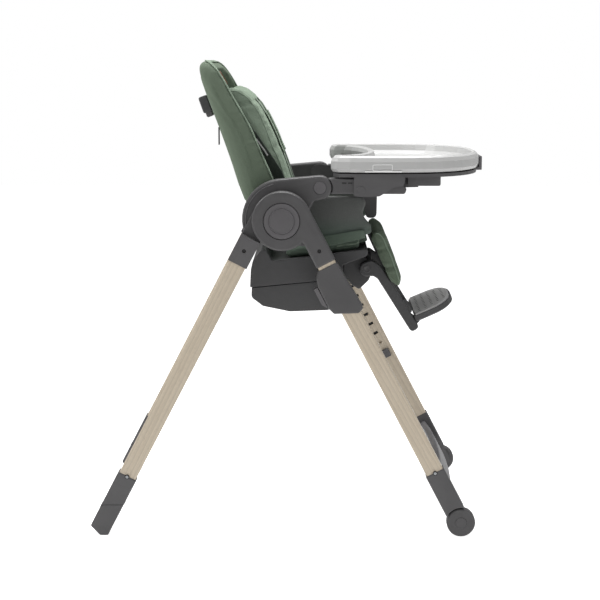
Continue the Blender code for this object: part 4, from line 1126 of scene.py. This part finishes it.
class HIGHCHAIR_OT_frame(bpy.types.Operator):
    """Finish the folding frame: ash legs, hubs, boots, wheels, screws and seams"""
    bl_idname = "high_chair.frame"
    bl_label = "Folding frame"

    def execute(self, context):
        for _, tag in SIDES:
            finish_nodes("ash_front", f"front_leg_{tag}")
            finish_nodes("ash_rear", f"rear_leg_{tag}")
            finish_nodes("charcoal", f"hub_housing_{tag}", f"rear_sleeve_{tag}",
                         f"front_boot_{tag}", f"rear_boot_{tag}", f"leg_stop_{tag}")
            finish_nodes("button", f"fold_button_{tag}")
            finish_nodes("wheel", f"wheel_{tag}")
        finish_nodes("bar", "front_crossbar", "rear_crossbar")
        for side, tag in SIDES:
            outer = outer_face(f"hub_housing_{tag}")
            for way, end, body in ((1, "front", "front_frame"), (-1, "rear", "rear_frame")):
                x, z = on_leg(way, SCREW_AT, 0.0)
                # a dark dish sunk in the screw hole down each sleeve, in unlit black: painted shade
                # of the hole
                deep = [(0.0010, -0.0016), (0.0018, -0.0012), (0.0030, -0.0014),
                        (0.0043, -0.0018), (0.0044, -0.0026)]
                keep(turned(f"{end}_sleeve_screw_{tag}", deep, (x, side * outer, z), (0, side, 0),
                            16), f"{end}_sleeve_screw_{tag}", "slot", body, sharp=40)
                stop = "front_boot" if way == 1 else "rear_boot"
                low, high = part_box(f"{stop}_{tag}")
                face = max(abs(low[1]), abs(high[1]))
                top = (high[2] - HUB_Z) / -math.cos(LEG_ANGLE)
                x, z = on_leg(way, top + 0.034, 0.0)
                screw(f"{stop}_screw_{tag}", (x, side * face, z), (0, side, 0), body)
                # parting line round the rear boot, where its sole is moulded on
                tree = tree_of(NODES[f"{stop}_{tag}"])
                if way == -1:
                    line = []
                    inner = min(abs(low[1]), abs(high[1]))
                    for across, y in ((-0.03, face), (0.0, face + 0.01), (0.03, face),
                                      (0.03, inner), (0.0, inner - 0.01), (-0.03, inner)):
                        x, z = on_leg(way, 0.742 + across * 0.52, across)
                        line.append((x, side * y, z))
                    fine = smooth_path(line + [line[0]], 0.003)[:-1]
                    seam, out = settle(fine, tree, 0.0)
                    keep(swept(f"boot_seam_{tag}", seam, out, round_section(0.0006, 6), True),
                         f"boot_seam_{tag}", "slot", body)
            # dark plates set in the height notches: painted shade inside them
            for index in range(8):
                spot = on_leg(1, 0.2208 + 0.027 * index, 0.0)
                raised(f"notch_liner_{tag}_{index + 1}",
                       pill(spot, (math.cos(LEG_ANGLE), math.sin(LEG_ANGLE)), 0.0057, 0.0033, 4),
                       -0.2530, -side, 0.0030, "slot", "front_frame")
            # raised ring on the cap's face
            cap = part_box(f"fold_button_{tag}")
            face = max(abs(cap[0][1]), abs(cap[1][1]))
            ring = [(0.0258, -0.0004), (0.0258, 0.0004), (0.0264, 0.0007), (0.0270, 0.0004),
                    (0.0270, -0.0004)]
            x, z = at(0, 0)
            keep(turned(f"cap_ring_{tag}", ring, (x, side * face, z), (0, side, 0), 48),
                 f"cap_ring_{tag}", "button", f"fold_button_{tag}")
        return {"FINISHED"}


class HIGHCHAIR_OT_carriage(bpy.types.Operator):
    """Finish the seat's carriage: sliders, side panels, shell, triggers and buttons"""
    bl_idname = "high_chair.carriage"
    bl_label = "Seat carriage"

    def execute(self, context):
        finish_nodes("graphite", "seat_shell", "seat_base_cover", "footrest_bracket",
                     "recline_housing", "calf_board")
        finish_nodes("grey", "recline_lever", "harness_buckle")
        finish_nodes("slot", "zip_pull")
        for _, tag in SIDES:
            finish_nodes("charcoal", f"side_panel_{tag}", f"slider_{tag}", f"armrest_{tag}")
            finish_nodes("button", f"height_trigger_{tag}", f"armrest_button_{tag}")
        for side, tag in SIDES:
            face = outer_face(f"side_panel_{tag}")
            # raised rib round the upper rear rim of each side panel, in the paler grey: a real lip,
            # and painted highlight on the rim's bevel
            line = []
            for k in range(25):
                turn = math.radians(103 + 88 * k / 24)
                x, z = at(0.0795 * math.cos(turn), 0.0795 * math.sin(turn))
                line.append(Vector((x, side * (face + 0.0001), z)))
            way = [Vector((0, side, 0))] * len(line)
            keep(swept(f"panel_rib_{tag}", line, way, flat_section(0.0022, 0.0010)),
                 f"panel_rib_{tag}", "grey", "seat_carriage")
        return {"FINISHED"}


class HIGHCHAIR_OT_tray(bpy.types.Operator):
    """Finish the tray, its rails, latch buttons, clips and the crotch post"""
    bl_idname = "high_chair.tray"
    bl_label = "Tray"

    def execute(self, context):
        finish_nodes("tray", "tray_top")
        finish_nodes("charcoal", "tray_base", "crotch_post")
        finish_nodes("grey", "tray_lever")
        for side, tag in SIDES:
            low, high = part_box("tray_base")
            face = high[1]
            x, z = at(0.1725, 0.0655)
            raised(f"latch_button_{tag}", pill((x, z), (1, 0), 0.0095, 0.0070), face, side,
                       0.0018, "charcoal", "tray_base")
            rail = outer_face(f"armrest_{tag}")
            # two dark pills on each armrest rail, in unlit black: painted shade inside its slots
            for row, run in enumerate((0.1360, 0.1490)):
                x, z = at(run, 0.0800)
                raised(f"rail_slot_{tag}_{row + 1}", pill((x, z), (1, 0), 0.0052, 0.0016), rail,
                       side, 0.0003, "slot", "armrests", 0.0002)
            edge = high[1] + 0.005
            x0, z0 = at(0.198, 0.1075)
            x1, z1 = at(0.240, 0.1205)
            loop = [Vector((x, side * (edge + 0.0002), z)) for x, z in
                    oblong(x0, z0, x1, z1, 0.0020)]
            keep(swept(f"tray_clip_{tag}", loop, [Vector((0, side, 0))] * len(loop),
                       round_section(0.0007, 6), True), f"tray_clip_{tag}", "tray_edge",
                 "tray_top")
            strip = pill(at(0.221, 0.1056), (1, 0), 0.0405, 0.0014)
            raised(f"tray_strip_{tag}", strip, edge - 0.0045, side, 0.0050, "tray_edge",
                   "tray_top")
        return {"FINISHED"}


class HIGHCHAIR_OT_footrest(bpy.types.Operator):
    """Finish the footrest and its ribbed plate"""
    bl_idname = "high_chair.footrest"
    bl_label = "Footrest"

    def execute(self, context):
        finish_nodes("graphite", "footrest_arm_right", "footrest_arm_left", "footplate")
        finish_nodes("rubber", "footplate_mat")
        # staggered grip studs, moulded on the plate's mat, in dark graphite: painted shade, so that
        # they read as dark dashes
        tilt, limb = math.radians(23.5), math.radians(32.3)
        x0, z0 = at(0.191 + 0.163 * math.sin(limb) + 0.0325 * math.cos(limb),
                    -0.127 - 0.163 * math.cos(limb) + 0.0325 * math.sin(limb))
        points, faces = [], []
        for row in range(5):
            run = 0.016 + 0.0160 * row
            reach = max(0.0, (run + 0.006 - 0.035) / 0.064)
            wide = 0.108 * math.sqrt(max(0.0, 1 - reach ** 2))
            for step in range(-5, 6):
                y = (step + (0.5 if row % 2 else 0.0)) * 0.0200
                if abs(y) > wide - 0.005:
                    continue
                base = len(points)
                for long, half, rise in ((0.0030, 0.0022, 0.0160), (0.0024, 0.0016, 0.0168)):
                    for a, b in ((-1, -1), (1, -1), (1, 1), (-1, 1)):
                        r = run + a * long
                        points.append((x0 + r * math.cos(tilt) - rise * math.sin(tilt),
                                       y + b * half,
                                       z0 + r * math.sin(tilt) + rise * math.cos(tilt)))
                faces += [(base, base + 3, base + 2, base + 1),
                          (base + 4, base + 5, base + 6, base + 7)]
                faces += [(base + k, base + (k + 1) % 4, base + 4 + (k + 1) % 4, base + 4 + k)
                          for k in range(4)]
        keep(mesh_of("mat_studs", points, faces), "mat_studs", "graphite", "footplate", sharp=30)
        for side, tag in SIDES:
            low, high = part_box(f"footrest_arm_{tag}")
            face = max(abs(low[1]), abs(high[1]))
            x, z = at(0.191, -0.127)
            cap = [(0.0050, 0.0002), (0.0062, 0.0006), (0.0078, 0.0009), (0.0086, 0.0004),
                   (0.0088, -0.0006)]
            keep(turned(f"footrest_pivot_{tag}", cap, (x, side * face, z), (0, side, 0), 32),
                 f"footrest_pivot_{tag}", "charcoal", "footrest", sharp=40)
        return {"FINISHED"}


class HIGHCHAIR_OT_stage(bpy.types.Operator):
    """Set the plain floor, the soft light and the camera"""
    bl_idname = "high_chair.stage"
    bl_label = "Stage"

    def execute(self, context):
        scene = context.scene
        corners, faces = [], []
        count, reach, below = 24, 9, 0.0005
        for i in range(count + 1):
            for k in range(count + 1):
                corners.append((-reach + 2 * reach * i / count, -reach + 2 * reach * k / count,
                                -below))
        for i in range(count):
            for k in range(count):
                a = i * (count + 1) + k
                faces.append((a, a + 1, a + count + 2, a + count + 1))
        floor = bpy.data.objects.new("floor", mesh_of("floor", corners, faces))
        scene.collection.objects.link(floor)
        material, tree, where = start("Pale seamless paper")
        mottle = add(tree, "ShaderNodeTexNoise", {"Scale": 3.0}, {"Vector": where})
        tone = add(tree, "ShaderNodeValToRGB",
                   {"stops": [(0.3, (0.70, 0.70, 0.70, 1.0)), (0.7, (0.72, 0.72, 0.72, 1.0))]},
                   {"Fac": mottle.outputs["Fac"]}).outputs["Color"]
        paper = add(tree, "ShaderNodeBsdfPrincipled",
                    {"Roughness": 0.95, "Emission Color": (1.0, 1.0, 1.0, 1.0),
                     "Emission Strength": 0.45})
        close(tree, paper, tone)
        # the far floor is lit as evenly as the near floor, without lighting the chair more
        even = add(tree, "ShaderNodeBsdfPrincipled",
                   {"Roughness": 0.95, "Emission Color": (1.0, 1.0, 1.0, 1.0),
                    "Emission Strength": 0.90})
        tree.links.new(tone, even.inputs["Base Color"])
        seen = add(tree, "ShaderNodeMixShader",
                   links={0: add(tree, "ShaderNodeLightPath").outputs["Is Camera Ray"],
                          1: paper.outputs["BSDF"], 2: even.outputs["BSDF"]})
        output = next(node for node in tree.nodes if node.type == "OUTPUT_MATERIAL")
        tree.links.new(seen.outputs["Shader"], output.inputs["Surface"])
        floor.data.materials.append(material)

        world = bpy.data.worlds.new("Soft studio")
        world.use_nodes = True
        sky = world.node_tree.nodes["Background"]
        sky.inputs["Color"].default_value = (1.0, 1.0, 1.0, 1.0)
        sky.inputs["Strength"].default_value = 0.30
        # the backdrop shows as white paper, brighter than the light that it gives
        tree = world.node_tree
        seen = add(tree, "ShaderNodeBackground", {"Color": (1.0, 1.0, 1.0, 1.0), "Strength": 1.0})
        mix = add(tree, "ShaderNodeMixShader",
                  links={0: add(tree, "ShaderNodeLightPath").outputs["Is Camera Ray"],
                         1: sky.outputs["Background"], 2: seen.outputs["Background"]})
        tree.links.new(mix.outputs["Shader"], tree.nodes["World Output"].inputs["Surface"])
        scene.world = world
        for name, place, size, power in (("key", (-1.2, -2.4, 3.0), 2.0, 12.0),
                                         ("fill", (2.6, -2.0, 1.8), 2.4, 6.0),
                                         ("rim", (-2.2, -0.6, 2.4), 0.9, 24.0),
                                         ("top", (0.2, 0.5, 3.4), 2.2, 118.0)):
            light = bpy.data.lights.new(name, "AREA")
            light.size = size
            light.energy = power
            lamp = bpy.data.objects.new(name, light)
            lamp.location = place
            lamp.rotation_euler = (Vector((0, 0, 0.6)) - Vector(place)).to_track_quat(
                "-Z", "Y").to_euler()
            scene.collection.objects.link(lamp)

        lens = bpy.data.cameras.new("camera")
        lens.lens = 86.58
        lens.sensor_width = 36.0
        camera = bpy.data.objects.new("camera", lens)
        camera.location = (0.0686, -3.39, 1.05)
        camera.rotation_euler = (math.radians(90 - 9.354), 0.0, math.radians(0.768))
        scene.collection.objects.link(camera)
        scene.camera = camera
        scene.view_settings.view_transform = "Standard"
        return {"FINISHED"}


STEPS = ("back_cover", "inlay", "seat", "calf_rest", "harness", "frame", "carriage", "tray",
         "footrest", "stage")


class HIGHCHAIR_PT_panel(bpy.types.Panel):
    """Lists the chair's pieces, sizes and colours"""
    bl_idname = "HIGHCHAIR_PT_panel"
    bl_label = "High chair"
    bl_space_type = "VIEW_3D"
    bl_region_type = "UI"
    bl_category = "High chair"

    def draw(self, context):
        for name in STEPS:
            self.layout.operator(f"high_chair.{name}")
        for group in (context.scene.high_chair_sizes, context.scene.high_chair_colours):
            box = self.layout.box()
            for key in group.bl_rna.properties.keys():
                if key not in ("rna_type", "name"):
                    box.prop(group, key)


CLASSES = (HighChairColours, HighChairSizes, HIGHCHAIR_OT_back_cover, HIGHCHAIR_OT_inlay,
           HIGHCHAIR_OT_seat, HIGHCHAIR_OT_calf_rest, HIGHCHAIR_OT_harness, HIGHCHAIR_OT_frame,
           HIGHCHAIR_OT_carriage, HIGHCHAIR_OT_tray, HIGHCHAIR_OT_footrest, HIGHCHAIR_OT_stage,
           HIGHCHAIR_PT_panel)


def register():
    for item in CLASSES:
        bpy.utils.register_class(item)
    bpy.types.Scene.high_chair_sizes = bpy.props.PointerProperty(type=HighChairSizes)
    bpy.types.Scene.high_chair_colours = bpy.props.PointerProperty(type=HighChairColours)


def unregister():
    del bpy.types.Scene.high_chair_colours
    del bpy.types.Scene.high_chair_sizes
    for item in reversed(CLASSES):
        bpy.utils.unregister_class(item)


def main():
    register()
    make_finishes(bpy.context.scene.high_chair_colours)
    for name in STEPS:
        getattr(bpy.ops.high_chair, name)()


if __name__ == "__main__":
    main()
